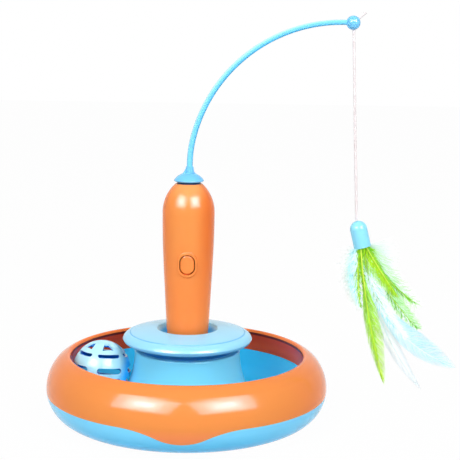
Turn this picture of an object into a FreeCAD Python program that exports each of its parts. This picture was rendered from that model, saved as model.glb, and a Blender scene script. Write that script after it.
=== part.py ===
import FreeCAD, Part
import math
import os
import Sketcher

# Feather track cat toy: a ball runs round a track in the base, and a handle that stands
# in the middle turns a curved arm with feathers on a cord.
# Millimetres, +Z up, the front towards -Y. The origin is the middle of the base,
# on the surface that the toy stands on.

Vector = FreeCAD.Vector
X_AXIS = Vector(1, 0, 0)
Y_AXIS = Vector(0, 1, 0)
Z_AXIS = Vector(0, 0, 1)

# Driving dimensions, each with the words that say what it is.
DRIVING_SIZES = (
    ("foot_height", 1.0, "rubber feet below the bottom shell"),
    ("base_radius", 102.5, "base at its widest"),
    ("widest_height", 23.8, "height of the widest ring"),
    ("seam_height", 21.2, "seam between bottom shell and rim ring"),
    ("low_side_radius", 24.0, "side arc under the widest ring"),
    ("high_side_radius", 28.6, "side arc over the widest ring"),
    ("shoulder_radius", 19.4, "arc that leads over to the lip"),
    ("lip_round", 2.0, "rolled edge of the lip"),
    ("shell_wall", 2.0, "wall of the moulded base parts"),
    ("wall_foot_radius", 87.5, "foot of the ring's inner wall"),
    ("wall_foot_height", 31.2, "height of that foot"),
    ("lobe_half_width", 43.0, "half the width of a seam lobe"),
    ("lobe_depth", 9.7, "how far a lobe hangs under the seam"),
    ("lobe_tip_radius", 37.3, "arc at the bottom of a lobe"),
    ("skin_depth", 1.2, "thickness of a lobe"),
    ("hub_radius", 38.6, "edge of the hub's top"),
    ("hub_height", 50.5, "top of the hub"),
    ("track_circle", 62.6, "circle that the ball's centre runs on"),
    ("groove_radius", 21.9, "hollow of the track"),
    ("groove_height", 35.8, "centre height of that hollow"),
    ("ball_radius", 21.0, "outside of the ball"),
    ("ball_wall", 1.6, "wall of the ball"),
    ("ball_height", 35.2, "centre height of the ball"),
    ("bell_radius", 6.5, "bell inside the ball"),
    ("collar_radius", 47.2, "collar at its widest"),
    ("collar_crease_radius", 41.8, "crease round the collar's top plate"),
    ("collar_hole_radius", 21.6, "edge of the collar's funnel"),
    ("collar_height", 66.3, "top edge of the funnel"),
    ("neck_radius", 34.0, "neck under the collar"),
    ("neck_height", 56.0, "top of the neck"),
    ("socket_bore", 15.3, "bore that the handle stands in"),
    ("socket_floor", 37.7, "floor of that bore"),
    ("stem_radius", 15.0, "stem of the handle"),
    ("stem_bottom", 41.0, "lower edge of the handle shells"),
    ("handle_radius", 18.85, "handle at its widest"),
    ("handle_waist_height", 111.5, "height where the handle's side begins to curve"),
    ("handle_waist_radius", 17.785, "handle radius at that height"),
    ("handle_shoulder_height", 151.5, "height where the dome begins"),
    ("handle_dome_radius", 28.1, "arc of the dome"),
    ("handle_top", 172.3, "mouth of the handle"),
    ("handle_wall", 1.8, "wall of the handle shells"),
    ("button_height", 116.0, "centre of the button"),
    ("cell_radius", 5.25, "size AAA cell"),
    ("cell_length", 44.5, "size AAA cell"),
    ("cell_circle", 6.4, "distance of the cells from the middle"),
    ("cell_bottom", 46.4, "lower end of the cells"),
    ("motor_radius", 7.7, "motor can"),
    ("gear_spacing", 7.6, "distance between the two gear axes"),
    ("gear_floor", 137.8, "inside floor of the gearbox"),
    ("shaft_radius", 2.5, "output shaft"),
    ("pin_radius", 0.75, "pins that the compound gears turn on"),
    ("cap_radius", 10.8, "rotor cap at its widest"),
    ("rod_radius", 2.15, "arm at its root"),
    ("rod_tip_radius", 1.8, "arm at its tip"),
    ("rod_bend_height", 185.7, "height where the arm starts to curve"),
    ("bead_radius", 5.0, "bead at the arm's tip"),
    ("cord_radius", 1.0, "cord"),
    ("ferrule_radius", 6.25, "feather cap"),
    ("ferrule_reach", 13.3, "feather cap from its dome's centre to its mouth"),
)

doc = FreeCAD.newDocument("FeatherTrackToy")
sheet = doc.addObject("Spreadsheet::Sheet", "Sizes")
for row, (alias, value, meaning) in enumerate(DRIVING_SIZES, start=1):
    sheet.set(f"A{row}", meaning)
    sheet.set(f"B{row}", str(value))
    sheet.setAlias(f"B{row}", alias)
doc.recompute()


class Size:
    """A length that keeps the expression it comes from, so that it can be bound."""

    def __init__(self, value, text=None):
        self.value = float(value)
        self.text = text if text else repr(float(value))

    def combined(self, other, sign, value):
        return Size(value, f"({self.text} {sign} {other.text})")

    def __add__(self, other):
        other = as_size(other)
        return self.combined(other, "+", self.value + other.value)

    def __radd__(self, other):
        return as_size(other) + self

    def __sub__(self, other):
        other = as_size(other)
        return self.combined(other, "-", self.value - other.value)

    def __rsub__(self, other):
        return as_size(other) - self

    def __mul__(self, other):
        other = as_size(other)
        return self.combined(other, "*", self.value * other.value)

    def __rmul__(self, other):
        return as_size(other) * self

    def __truediv__(self, other):
        other = as_size(other)
        return self.combined(other, "/", self.value / other.value)

    def __neg__(self):
        return Size(-self.value, f"(0 - {self.text})")


def as_size(number):
    return number if isinstance(number, Size) else Size(number)


def square_root(size):
    return Size(math.sqrt(size.value), f"sqrt({size.text})")


def circle_reach(radius, rise):
    """How far out a circle of this radius is, this far above or below its centre."""
    return square_root(radius * radius - rise * rise)


class Dimensions:
    """The sheet's cells as sizes."""

    def __getattr__(self, alias):
        return Size(sheet.get(alias), f"Sizes.{alias}")


dim = Dimensions()

# Finished nodes: file name and object.
nodes = []


def finish(name, thing):
    """Record an object as one node of the toy."""
    thing.Label = name
    nodes.append((name, thing))
    return thing


def bind(thing, path, size):
    """Bind a property to the sheet through the size's expression."""
    thing.setExpression(path, as_size(size).text)


def turned_to(direction):
    """The rotation that takes +Z to a direction."""
    return FreeCAD.Rotation(Z_AXIS, Vector(*direction))


def place(thing, spot, rotation=None):
    """Put an object at a spot, with its coordinates bound to the sheet."""
    spot = [as_size(number) for number in spot]
    turn = rotation if rotation else FreeCAD.Rotation()
    thing.Placement = FreeCAD.Placement(Vector(*[size.value for size in spot]), turn)
    for letter, size in zip("xyz", spot):
        if "Sizes." in size.text:
            bind(thing, f"Placement.Base.{letter}", size)
    return thing


def cylinder(name, radius, length, spot=(0, 0, 0), direction=(0, 0, 1)):
    thing = doc.addObject("Part::Cylinder", name)
    bind(thing, "Radius", radius)
    bind(thing, "Height", length)
    return place(thing, spot, turned_to(direction))


def cone(name, low_radius, high_radius, length, spot):
    thing = doc.addObject("Part::Cone", name)
    bind(thing, "Radius1", low_radius)
    bind(thing, "Radius2", high_radius)
    bind(thing, "Height", length)
    return place(thing, spot)


def sphere(name, radius, spot):
    thing = doc.addObject("Part::Sphere", name)
    bind(thing, "Radius", radius)
    return place(thing, spot)


def box(name, sides, middle):
    """A box by its three sides and the middle of its lower face."""
    thing = doc.addObject("Part::Box", name)
    for path, size in zip(("Length", "Width", "Height"), sides):
        bind(thing, path, size)
    return place(thing, (middle[0] - sides[0] / 2, middle[1] - sides[1] / 2, middle[2]))


def cut(name, base, *tools):
    thing = doc.addObject("Part::Cut", name)
    thing.Base = base
    thing.Tool = tools[0] if len(tools) == 1 else fuse(name + "_tools", *tools)
    return thing


def fuse(name, *things):
    thing = doc.addObject("Part::MultiFuse", name)
    thing.Shapes = list(things)
    return thing


def common(name, *things):
    thing = doc.addObject("Part::MultiCommon", name)
    thing.Shapes = list(things)
    return thing


def linked_copies(name, thing, spots):
    """One more copy of an object for each spot and rotation."""
    copies = []
    for index, (spot, rotation) in enumerate(spots, start=1):
        link = doc.addObject("App::Link", f"{name}_{index}")
        link.LinkedObject = thing
        link.LinkTransform = True
        link.LinkPlacement = FreeCAD.Placement(Vector(*spot), rotation)
        copies.append(link)
    return copies


def grouped(name, things):
    group = doc.addObject("Part::Compound", name)
    group.Links = things
    return group


def around(count, radius, height, first_angle=0.0):
    """Spots on a circle about the middle."""
    spots = []
    for index in range(count):
        angle = math.radians(first_angle + 360.0 * index / count)
        spot = (radius * math.cos(angle), radius * math.sin(angle), height)
        spots.append((spot, FreeCAD.Rotation(Z_AXIS, math.degrees(angle))))
    return spots


def arc_centre(start, end, radius):
    """The centre of an arc that turns left for a positive radius, else right."""
    half_x = (end[0] - start[0]) / 2
    half_y = (end[1] - start[1]) / 2
    half = math.hypot(half_x, half_y)
    reach = math.sqrt(max(radius * radius - half * half, 0.0))
    side = 1 if radius > 0 else -1
    return (
        start[0] + half_x - side * reach * half_y / half,
        start[1] + half_y + side * reach * half_x / half,
    )


def add_edge(sketch, start, end, radius):
    """Add a line, or an arc when there is a radius. Tells which end is its start."""
    if radius is None:
        sketch.addGeometry(Part.LineSegment(Vector(*start, 0), Vector(*end, 0)))
        return 1, 2
    centre = arc_centre(start, end, radius)
    angles = [math.atan2(spot[1] - centre[1], spot[0] - centre[0]) for spot in (start, end)]
    if radius < 0:
        angles.reverse()
    circle = Part.Circle(Vector(*centre, 0), Z_AXIS, abs(radius))
    sketch.addGeometry(Part.ArcOfCircle(circle, *angles))
    return (1, 2) if radius > 0 else (2, 1)


def pin_down(sketch, edge, point, size, along, axis):
    """Hold one coordinate of a point at its size, measured from the sketch's origin."""
    if abs(size.value) < 1e-6:
        sketch.addConstraint(Sketcher.Constraint("PointOnObject", edge, point, axis))
        return
    ends = (-1, 1, edge, point) if size.value > 0 else (edge, point, -1, 1)
    number = sketch.addConstraint(Sketcher.Constraint(along, *ends, abs(size.value)))
    if "Sizes." in size.text:
        held = size if size.value > 0 else -size
        sketch.setExpression(f"Constraints[{number}]", held.text)


def outline_sketch(body, name, plane, outline, offset=0.0):
    """A closed outline. Each corner is (x, y), or (x, y, radius) if an arc leads to it,
    and the last corner joins the first with a line unless it is the same point."""
    sketch = body.newObject("Sketcher::SketchObject", name)
    support = [item for item in body.Origin.OriginFeatures if item.Role == plane][0]
    sketch.AttachmentSupport = (support, "")
    sketch.MapMode = "FlatFace"
    sketch.AttachmentOffset = FreeCAD.Placement(Vector(0, 0, offset), FreeCAD.Rotation())
    corners = [tuple(as_size(number) for number in corner) for corner in outline]
    spots = [(corner[0].value, corner[1].value) for corner in corners]
    if math.dist(spots[0], spots[-1]) > 1e-6:
        corners.append(corners[0][:2])
        spots.append(spots[0])
    ends = []
    for index in range(1, len(corners)):
        radius = corners[index][2] if len(corners[index]) == 3 else None
        bend = radius.value if radius else None
        ends.append(add_edge(sketch, spots[index - 1], spots[index], bend))
        if radius:
            number = sketch.addConstraint(Sketcher.Constraint("Radius", index - 1, abs(bend)))
            if "Sizes." in radius.text:
                held = radius if bend > 0 else -radius
                sketch.setExpression(f"Constraints[{number}]", held.text)
    for index, (start, end) in enumerate(ends):
        following = (index + 1) % len(ends)
        joint = Sketcher.Constraint("Coincident", index, end, following, ends[following][0])
        sketch.addConstraint(joint)
        pin_down(sketch, index, start, corners[index][0], "DistanceX", -2)
        pin_down(sketch, index, start, corners[index][1], "DistanceY", -1)
    return sketch


def revolved(name, outline, turn=360.0, front=False):
    """A body turned about its Z axis from an outline of (radius, height)."""
    body = doc.addObject("PartDesign::Body", name)
    sketch = outline_sketch(body, name + "_outline", "XZ_Plane", outline)
    feature = body.newObject("PartDesign::Revolution", name + "_turned")
    feature.Profile = sketch
    feature.ReferenceAxis = (sketch, ["V_Axis"])
    feature.Angle = turn
    feature.Reversed = front
    body.Tip = feature
    return body


def padded(name, plane, outline, length, offset=0.0, copies=1):
    """A body padded from an outline, repeated about its Z axis if copies are asked for."""
    body = doc.addObject("PartDesign::Body", name)
    sketch = outline_sketch(body, name + "_outline", plane, outline, offset)
    feature = body.newObject("PartDesign::Pad", name + "_pad")
    feature.Profile = sketch
    bind(feature, "Length", length)
    body.Tip = feature
    if copies > 1:
        doc.recompute()
        axis = [item for item in body.Origin.OriginFeatures if item.Role == "Z_Axis"][0]
        pattern = body.newObject("PartDesign::PolarPattern", name + "_pattern")
        pattern.Originals = [feature]
        pattern.Axis = (axis, [""])
        pattern.Angle = 360.0
        pattern.Occurrences = copies
        body.Tip = pattern
    return body


def rounded_bar(width, length, height=0.0):
    """Outline of an upright bar with round ends."""
    radius = as_size(width) / 2
    reach = as_size(length) / 2 - radius
    return [
        (radius, height - reach),
        (radius, height + reach),
        (0, height + reach + radius, radius),
        (-radius, height + reach, radius),
        (-radius, height - reach),
        (0, height - reach - radius, radius),
        (radius, height - reach, radius),
    ]


def lying_bar(length, width, height=0.0):
    """The same outline lying on its side."""
    radius = as_size(width) / 2
    reach = as_size(length) / 2 - radius
    return [
        (-reach, height - radius),
        (reach, height - radius),
        (reach + radius, height, radius),
        (reach, height + radius, radius),
        (-reach, height + radius),
        (-reach - radius, height, radius),
        (-reach, height - radius, radius),
    ]


def bent_path(points):
    """Straight runs joined by tangent arcs, and the radii of those arcs."""
    spots = [Vector(*point) for point in points]
    edges = []
    radii = []
    start = spots[0]
    for before, corner, after in zip(spots, spots[1:], spots[2:]):
        inward = (corner - before).normalize()
        onward = (after - corner).normalize()
        half_turn = inward.getAngle(onward) / 2
        trim = 0.45 * min((corner - before).Length, (after - corner).Length)
        radius = trim / math.tan(half_turn)
        first = corner - inward * trim
        last = corner + onward * trim
        towards = (onward - inward).normalize()
        middle = corner + towards * (radius / math.cos(half_turn) - radius)
        edges.append(Part.LineSegment(start, first).toShape())
        edges.append(Part.Arc(first, middle, last).toShape())
        radii.append(radius)
        start = last
    edges.append(Part.LineSegment(start, spots[-1]).toShape())
    return Part.Wire(edges), radii


# Screws


def pan_screw(name, shank_radius, shank_length, head_radius, head_height):
    """A pan-head screw, its head's underside at the origin and its shank along +Z."""
    outline = [
        (0, -head_height),
        (head_radius - 0.5, -head_height),
        (head_radius, -head_height + 0.5, 0.5),
        (head_radius, 0),
        (shank_radius, 0),
        (shank_radius, shank_length - shank_radius),
        (0, shank_length),
    ]
    turned = revolved(name + "_turned_form", outline)
    depth = head_height - 0.5
    bar = head_radius * 1.2
    cross = fuse(
        name + "_cross",
        box(name + "_cross_a", (Size(bar), Size(0.6), Size(depth)), (0, 0, -head_height)),
        box(name + "_cross_b", (Size(0.6), Size(bar), Size(depth)), (0, 0, -head_height)),
    )
    return cut(name, turned, cross)


# Base: bottom shell, rim ring with its lobes, track tray

COLLAR_SCREW_CIRCLE = 27.0

def low_side_corners(inset):
    """Seam, arc join and floor corner of the bottom shell, this far inside its surface."""
    lean = math.radians(40.0)
    side = dim.low_side_radius - inset
    middle = dim.base_radius - dim.low_side_radius
    drop = dim.widest_height - dim.foot_height
    heel = (drop - dim.low_side_radius * math.sin(lean)) / (1 - math.sin(lean))
    heel_middle = middle + (dim.low_side_radius - heel) * math.cos(lean)
    seam = (middle + circle_reach(side, dim.widest_height - dim.seam_height), dim.seam_height)
    join = (middle + side * math.cos(lean), dim.widest_height - side * math.sin(lean))
    floor = (heel_middle, dim.foot_height + inset)
    return seam, join, floor, side, heel - inset


def make_lobe_tools():
    """The outer skin of the bottom shell, and the prism of the three lobes."""
    low = 8.0
    middle = dim.base_radius - dim.low_side_radius

    def skin(name, depth):
        outer = dim.low_side_radius
        inner = dim.low_side_radius - depth
        top = dim.widest_height - dim.seam_height
        bottom = dim.widest_height - low
        outline = [
            (middle + circle_reach(outer, top), dim.seam_height),
            (middle + circle_reach(inner, top), dim.seam_height),
            (middle + circle_reach(inner, bottom), low, -inner),
            (middle + circle_reach(outer, bottom), low),
            (middle + circle_reach(outer, top), dim.seam_height, outer),
        ]
        return revolved(name, outline)

    half = dim.lobe_half_width
    depth = dim.lobe_depth
    tip = dim.lobe_tip_radius
    both = (half * half + depth * depth) / (2 * depth)
    flank = both - tip
    join_x = half * tip / both
    join_z = dim.seam_height - depth + tip - circle_reach(tip, join_x)
    prism = padded(
        "lobe_prism",
        "XZ_Plane",
        [
            (-half, dim.seam_height),
            (-join_x, join_z, -flank),
            (join_x, join_z, tip),
            (half, dim.seam_height, -flank),
        ],
        dim.base_radius + 10,
        copies=3,
    )
    lobes = common("lobe_skin", skin("lobe_skin_band", dim.skin_depth), prism)
    recess = common("lobe_recess", skin("lobe_recess_band", dim.skin_depth + 0.1), prism)
    return lobes, recess


BASE_SCREW_CIRCLE = 64.5
BASE_SCREW_ANGLE = 30.0
# Where the heads of those screws bear, and where the tray's posts begin.
BASE_SCREW_SEAT = 3.2
POST_FOOT = 5.1


def make_bottom_shell(recess):
    """The bowl under the seam, with a tongue that stands inside the rim ring."""
    wall = dim.shell_wall + 0.4
    tongue_gap = 0.15
    tongue_wall = 1.4
    tongue_top = dim.seam_height + 3.5
    seam, join, floor, side, heel = low_side_corners(0)
    inner_join, inner_floor, inner_side, inner_heel = low_side_corners(wall)[1:]
    middle = dim.base_radius - dim.low_side_radius
    rise = dim.widest_height - dim.seam_height
    ring_inside = middle + circle_reach(dim.low_side_radius - dim.shell_wall, rise)
    tongue_out = ring_inside - tongue_gap
    tongue_in = tongue_out - tongue_wall
    tongue_root = dim.widest_height - circle_reach(inner_side, tongue_in - middle)
    outline = [
        (0, dim.foot_height),
        floor,
        (*join, heel),
        (*seam, side),
        (tongue_out, dim.seam_height),
        (tongue_out, tongue_top),
        (tongue_in, tongue_top),
        (tongue_in, tongue_root),
        (*inner_join, -inner_side),
        (*inner_floor, -inner_heel),
        (0, inner_floor[1]),
    ]
    turned = revolved("bottom_shell_turned", outline)
    sink = 0.1
    boss_low = inner_floor[1].value - sink
    boss = cylinder("bottom_boss", 4.5, POST_FOOT - sink - boss_low, (0, 0, boss_low))
    spots = around(6, BASE_SCREW_CIRCLE, 0, BASE_SCREW_ANGLE)
    bosses = linked_copies("bottom_boss_at", boss, spots)
    head_hole = cylinder("bottom_head_hole", 2.9, BASE_SCREW_SEAT, (0, 0, 0))
    shank_hole = cylinder("bottom_shank_hole", 1.3, 8, (0, 0, 0))
    hole = fuse("bottom_hole", head_hole, shank_hole)
    holes = linked_copies("bottom_hole_at", hole, spots)
    body = fuse("bottom_shell_bossed", turned, *bosses)
    finish("base_bottom_shell", cut("bottom_shell_cut", body, recess, *holes))


def make_rim_ring(lobes):
    lean = math.radians(40.0)
    roll = math.radians(70.0)
    wall = dim.shell_wall
    middle = dim.base_radius - dim.low_side_radius
    high_middle = dim.base_radius - dim.high_side_radius
    rise = dim.widest_height - dim.seam_height
    shoulder_x = high_middle + (dim.high_side_radius - dim.shoulder_radius) * math.cos(lean)
    shoulder_z = dim.widest_height + (dim.high_side_radius - dim.shoulder_radius) * math.sin(lean)
    lip_x = shoulder_x + (dim.shoulder_radius - dim.lip_round) * math.cos(roll)
    lip_z = shoulder_z + (dim.shoulder_radius - dim.lip_round) * math.sin(roll)

    def on_side(inset):
        side = dim.high_side_radius - inset
        return (high_middle + side * math.cos(lean), dim.widest_height + side * math.sin(lean))

    outer_seam = (middle + circle_reach(dim.low_side_radius, rise), dim.seam_height)
    inner_low = dim.low_side_radius - wall
    inner_seam = (middle + circle_reach(inner_low, rise), dim.seam_height)
    outline = [
        outer_seam,
        (dim.base_radius, dim.widest_height, dim.low_side_radius),
        (*on_side(0), dim.high_side_radius),
        (
            shoulder_x + dim.shoulder_radius * math.cos(roll),
            shoulder_z + dim.shoulder_radius * math.sin(roll),
            dim.shoulder_radius,
        ),
        (lip_x - dim.lip_round, lip_z, dim.lip_round),
        (dim.wall_foot_radius, dim.wall_foot_height),
        (dim.wall_foot_radius + wall, dim.wall_foot_height),
        (lip_x, lip_z),
        (*on_side(wall), wall - dim.shoulder_radius),
        (dim.base_radius - wall, dim.widest_height, wall - dim.high_side_radius),
        (*inner_seam, -inner_low),
    ]
    finish("rim_ring", fuse("rim_ring_whole", revolved("rim_ring_turned", outline), lobes))


def make_track_tray():
    """The ball's track, the hub in the middle and the posts for the base screws."""
    wall = dim.shell_wall
    # Directions from the hollow's centre to its two edges.
    hub_side = math.radians(208.2)
    rim_side = math.radians(322.6)
    under = dim.groove_radius + wall

    def on_groove(radius, angle):
        x = dim.track_circle + radius * math.cos(angle)
        return x, dim.groove_height + radius * math.sin(angle)

    hub_bend = 60.0
    hole = dim.socket_bore + 2.9
    # The shelf under the ring's inner wall, and the lip behind that wall.
    rim_x = dim.wall_foot_radius - 0.1
    shelf_top = dim.wall_foot_height - 0.1
    shelf_low = dim.wall_foot_height - wall
    shelf_edge = rim_x + 7.0
    lip_in = rim_x + 3.0
    lip_out = rim_x + 4.5
    lip_top = dim.wall_foot_height + 4.0
    outline = [
        (hole, dim.hub_height),
        (hole, dim.hub_height - wall),
        (dim.hub_radius - wall, dim.hub_height - wall),
        (*on_groove(under, hub_side), hub_bend + 2.0),
        (*on_groove(under, rim_side), under),
        (rim_x + 1.0, shelf_low),
        (shelf_edge, shelf_low),
        (shelf_edge, shelf_top),
        (lip_out, shelf_top),
        (lip_out, lip_top),
        (lip_in, lip_top),
        (lip_in, shelf_top),
        (rim_x, shelf_top),
        on_groove(dim.groove_radius, rim_side),
        (*on_groove(dim.groove_radius, hub_side), -dim.groove_radius),
        (dim.hub_radius, dim.hub_height - 1.0, -hub_bend),
        (dim.hub_radius - 1.0, dim.hub_height, 1.0),
    ]
    turned = revolved("tray_turned", outline)
    post_top = dim.groove_height - under + 0.6
    post = cylinder("tray_post", 3.4, post_top - POST_FOOT, (0, 0, POST_FOOT))
    bore = cylinder("tray_post_bore", 1.1, 6.6, (0, 0, POST_FOOT))
    hollow_post = cut("tray_hollow_post", post, bore)
    spots = around(6, BASE_SCREW_CIRCLE, 0, BASE_SCREW_ANGLE)
    posts = linked_copies("tray_post_at", hollow_post, spots)
    collar_hole = cylinder("tray_collar_hole", 1.5, 4, (0, 0, dim.hub_height - 3))
    holes = linked_copies("tray_collar_hole_at", collar_hole, around(3, COLLAR_SCREW_CIRCLE, 0, 90))
    body = fuse("tray_with_posts", turned, *posts)
    finish("track_tray", cut("tray_cut", body, *holes))


def make_feet():
    foot = cylinder("foot_form", 7.0, dim.foot_height)
    feet = linked_copies("foot_at", foot, around(6, BASE_SCREW_CIRCLE, 0))
    finish("anti_slip_feet", grouped("feet_group", feet))
    finish("centre_pad", cylinder("centre_pad_form", 15.0, dim.foot_height))


def make_base_screws():
    screw = pan_screw("base_screw_form", 1.1, 7.5, 2.7, 1.6)
    spots = around(6, BASE_SCREW_CIRCLE, BASE_SCREW_SEAT, BASE_SCREW_ANGLE)
    finish("base_screws", grouped("base_screws_group", linked_copies("base_screw_at", screw, spots)))


# Turret: socket with its neck, collar and the screws between them


def make_socket():
    """The cup that the handle stands in, with the neck that carries the collar."""
    wall = dim.shell_wall
    cup = dim.socket_bore + 2.6
    outline = [
        (0, dim.socket_floor - 2.4),
        (cup, dim.socket_floor - 2.4),
        (cup, dim.neck_height - wall),
        (dim.neck_radius - wall, dim.neck_height - wall),
        (dim.neck_radius - wall, dim.hub_height),
        (dim.neck_radius, dim.hub_height),
        (dim.neck_radius, dim.hub_height + 1.9),
        (dim.neck_radius + 0.5, dim.hub_height + 1.9),
        (dim.neck_radius + 0.5, dim.hub_height + 3.4),
        (dim.neck_radius, dim.hub_height + 3.4),
        (dim.neck_radius, dim.neck_height),
        (dim.socket_bore + 1.3, dim.neck_height),
        (dim.socket_bore + 1.3, dim.neck_height + 1.5),
        (dim.socket_bore, dim.neck_height + 1.5),
        (dim.socket_bore, dim.socket_floor),
        (0, dim.socket_floor),
    ]
    turned = revolved("socket_turned", outline)
    hole = cylinder("socket_screw_hole", 1.5, 4, (0, 0, dim.neck_height - 3))
    holes = linked_copies("socket_screw_hole_at", hole, around(3, COLLAR_SCREW_CIRCLE, 0, 90))
    finish("handle_socket", cut("socket_cut", turned, *holes))


def make_collar():
    """The pale turret top: a rounded rim, a crease, a low dome and the funnel."""
    wall = dim.shell_wall
    rim_low = 55.7
    rim_widest = 58.9
    crease = dim.collar_crease_radius
    crease_z = 63.3
    plate_z = 63.6
    hole = dim.collar_hole_radius
    top = dim.collar_height
    bore = dim.socket_bore + 0.3
    funnel_foot = dim.neck_height + 1.6
    outline = [
        (dim.collar_radius - 4.2, rim_low),
        (dim.collar_radius, rim_widest, 4.3),
        (crease, crease_z, 6.3),
        (crease - 0.2, plate_z),
        (hole + 1.0, top, 150.0),
        (hole, top - 0.8, 1.2),
        (bore, funnel_foot + 2.0),
        (bore, funnel_foot),
        (bore + 1.6, funnel_foot),
        (bore + 1.6, funnel_foot + 1.2),
        (hole + 0.6, top - wall - 0.4),
        (crease - 1.2, plate_z - wall, -150.0),
        (dim.collar_radius - wall, rim_widest, -4.4),
        (dim.collar_radius - 4.6, rim_low + 1.4, -2.6),
    ]
    turned = revolved("collar_turned", outline)
    post_top = 63.6
    post = cylinder("collar_post", 3.0, post_top - dim.neck_height, (0, 0, dim.neck_height))
    bore_hole = cylinder("collar_post_bore", 1.1, 6.4, (0, 0, dim.neck_height))
    posts = linked_copies("collar_post_at", post, around(3, COLLAR_SCREW_CIRCLE, 0, 90))
    bores = linked_copies("collar_bore_at", bore_hole, around(3, COLLAR_SCREW_CIRCLE, 0, 90))
    body = fuse("collar_with_posts", turned, *posts)
    finish("turret_collar", cut("collar_cut", body, *bores))


def make_collar_screws():
    screw = pan_screw("collar_screw_form", 1.1, 13.4, 2.7, 1.6)
    seat = 48.5
    spots = around(3, COLLAR_SCREW_CIRCLE, seat, 90)
    screws = linked_copies("collar_screw_at", screw, spots)
    finish("collar_screws", grouped("collar_screws_group", screws))


# Ball, with a bell inside

BALL_ANGLE = 183.0
# The ball has come to rest turned: its own axis leans to the right and to the back.
BALL_LEAN_RIGHT = 4.1
BALL_LEAN_BACK = 4.4
BALL_TURN = -68.0
BALL_SECTORS = 5
# The seam lies under the ball's middle, so that its lower half is the smaller one.
BALL_SEAM_DROP = 1.55
WIDE_SLOT = (18.2, 4.2)
WIDE_SLOT_LIFT = 3.7
THIN_SLOT_WIDTH = 2.4
THIN_SLOT_LIFT = 13.75


def ball_spot():
    angle = math.radians(BALL_ANGLE)
    reach = dim.track_circle
    return reach * math.cos(angle), reach * math.sin(angle), dim.ball_height


def make_ball_half(name, seam, thin_slot_length, window):
    """A slotted cap of the ball above its seam. The slots keep their lift over the seam."""
    outer = dim.ball_radius
    inner = outer - dim.ball_wall
    outline = [
        (circle_reach(inner, seam), seam),
        (circle_reach(outer, seam), seam),
        (0, outer, outer),
        (0, inner),
        (circle_reach(inner, seam), seam, -inner),
    ]
    dome = revolved(name + "_dome", outline)
    reach = 25.0
    wide = lying_bar(*WIDE_SLOT, seam + WIDE_SLOT_LIFT)
    thin = lying_bar(thin_slot_length, THIN_SLOT_WIDTH, seam + THIN_SLOT_LIFT)
    wide_slot = padded(name + "_wide_slot", "YZ_Plane", wide, reach, copies=BALL_SECTORS)
    thin_slot = padded(name + "_thin_slot", "YZ_Plane", thin, reach, copies=BALL_SECTORS)
    near, far, near_half, far_half = window
    corners = [(near, -near_half), (far, -far_half), (far, far_half), (near, near_half)]
    cutter = padded(name + "_window", "XY_Plane", corners, reach)
    windows = linked_copies(name + "_window_at", cutter, around(BALL_SECTORS, 0, 0))
    return cut(name + "_cut", dome, wide_slot, thin_slot, *windows)


def make_ball():
    """The two halves of the slotted ball. The lower one is made upright and turned over."""
    lean = FreeCAD.Rotation(Y_AXIS, BALL_LEAN_RIGHT) * FreeCAD.Rotation(X_AXIS, -BALL_LEAN_BACK)
    turn = lean * FreeCAD.Rotation(Z_AXIS, BALL_TURN)
    upper = make_ball_half("ball_upper", -BALL_SEAM_DROP, 16.0, (7.4, 13.2, 1.5, 4.5))
    finish("ball_shell_upper", place(upper, ball_spot(), turn))
    turned_over = turn * FreeCAD.Rotation(X_AXIS, 180)
    lower = make_ball_half("ball_lower", BALL_SEAM_DROP, 13.0, (6.0, 10.6, 1.3, 3.7))
    finish("ball_shell_lower", place(lower, ball_spot(), turned_over))


def make_bell():
    """A slit bell that lies in the bottom of the ball, with its pellet."""
    x, y, z = ball_spot()
    drop = dim.ball_radius - dim.ball_wall - dim.bell_radius - 0.3
    middle = (x, y, z - drop)
    outer = sphere("bell_outside", dim.bell_radius, middle)
    inner = sphere("bell_inside", dim.bell_radius - 0.6, middle)
    slit_low = z - drop - dim.bell_radius
    slit_a = box("bell_slit_a", (Size(16), Size(1.0), Size(5)), (x, y, slit_low - 1))
    slit_b = box("bell_slit_b", (Size(1.0), Size(16), Size(5)), (x, y, slit_low - 1))
    finish("bell", cut("bell_cut", outer, inner, slit_a, slit_b))
    pellet_drop = dim.bell_radius - 0.6 - 2.0
    finish("bell_pellet", sphere("pellet_form", 2.0, (x, y, z - drop - pellet_drop)))


# Handle shells

# Underside of the gearbox, top of the battery holder, and the stem's taper between them.
MOTOR_SEAT = dim.gear_floor - 1.6
HOLDER_STOP = dim.cell_bottom + 48.6
HANDLE_TAPER = 0.0535
# The long arc of the handle's side, and the bore of its mouth.
HANDLE_SIDE_ARC = 752.0
MOUTH_BORE = 8.9


def handle_outline(inset):
    """Corners of the handle's side from its stem to its mouth, this far inside."""
    dome_x = dim.handle_radius - dim.handle_dome_radius
    dome = dim.handle_dome_radius - inset
    mouth_x = dome_x + circle_reach(dome, dim.handle_top - dim.handle_shoulder_height)
    return [
        (dim.stem_radius - inset, dim.stem_bottom + 23.0),
        (dim.stem_radius + 0.35 - inset, dim.stem_bottom + 25.0),
        (dim.handle_waist_radius - inset, dim.handle_waist_height),
        (dim.handle_radius - inset, dim.handle_shoulder_height, HANDLE_SIDE_ARC),
        (mouth_x, dim.handle_top, dome),
    ]


def handle_body(name, swell):
    """A solid of the handle's outside, swollen by a small amount."""
    corners = handle_outline(-swell)
    outline = [(0, dim.stem_bottom), (dim.stem_radius, dim.stem_bottom)]
    outline = outline + corners + [(0, dim.handle_top)]
    return revolved(name, outline)


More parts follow.
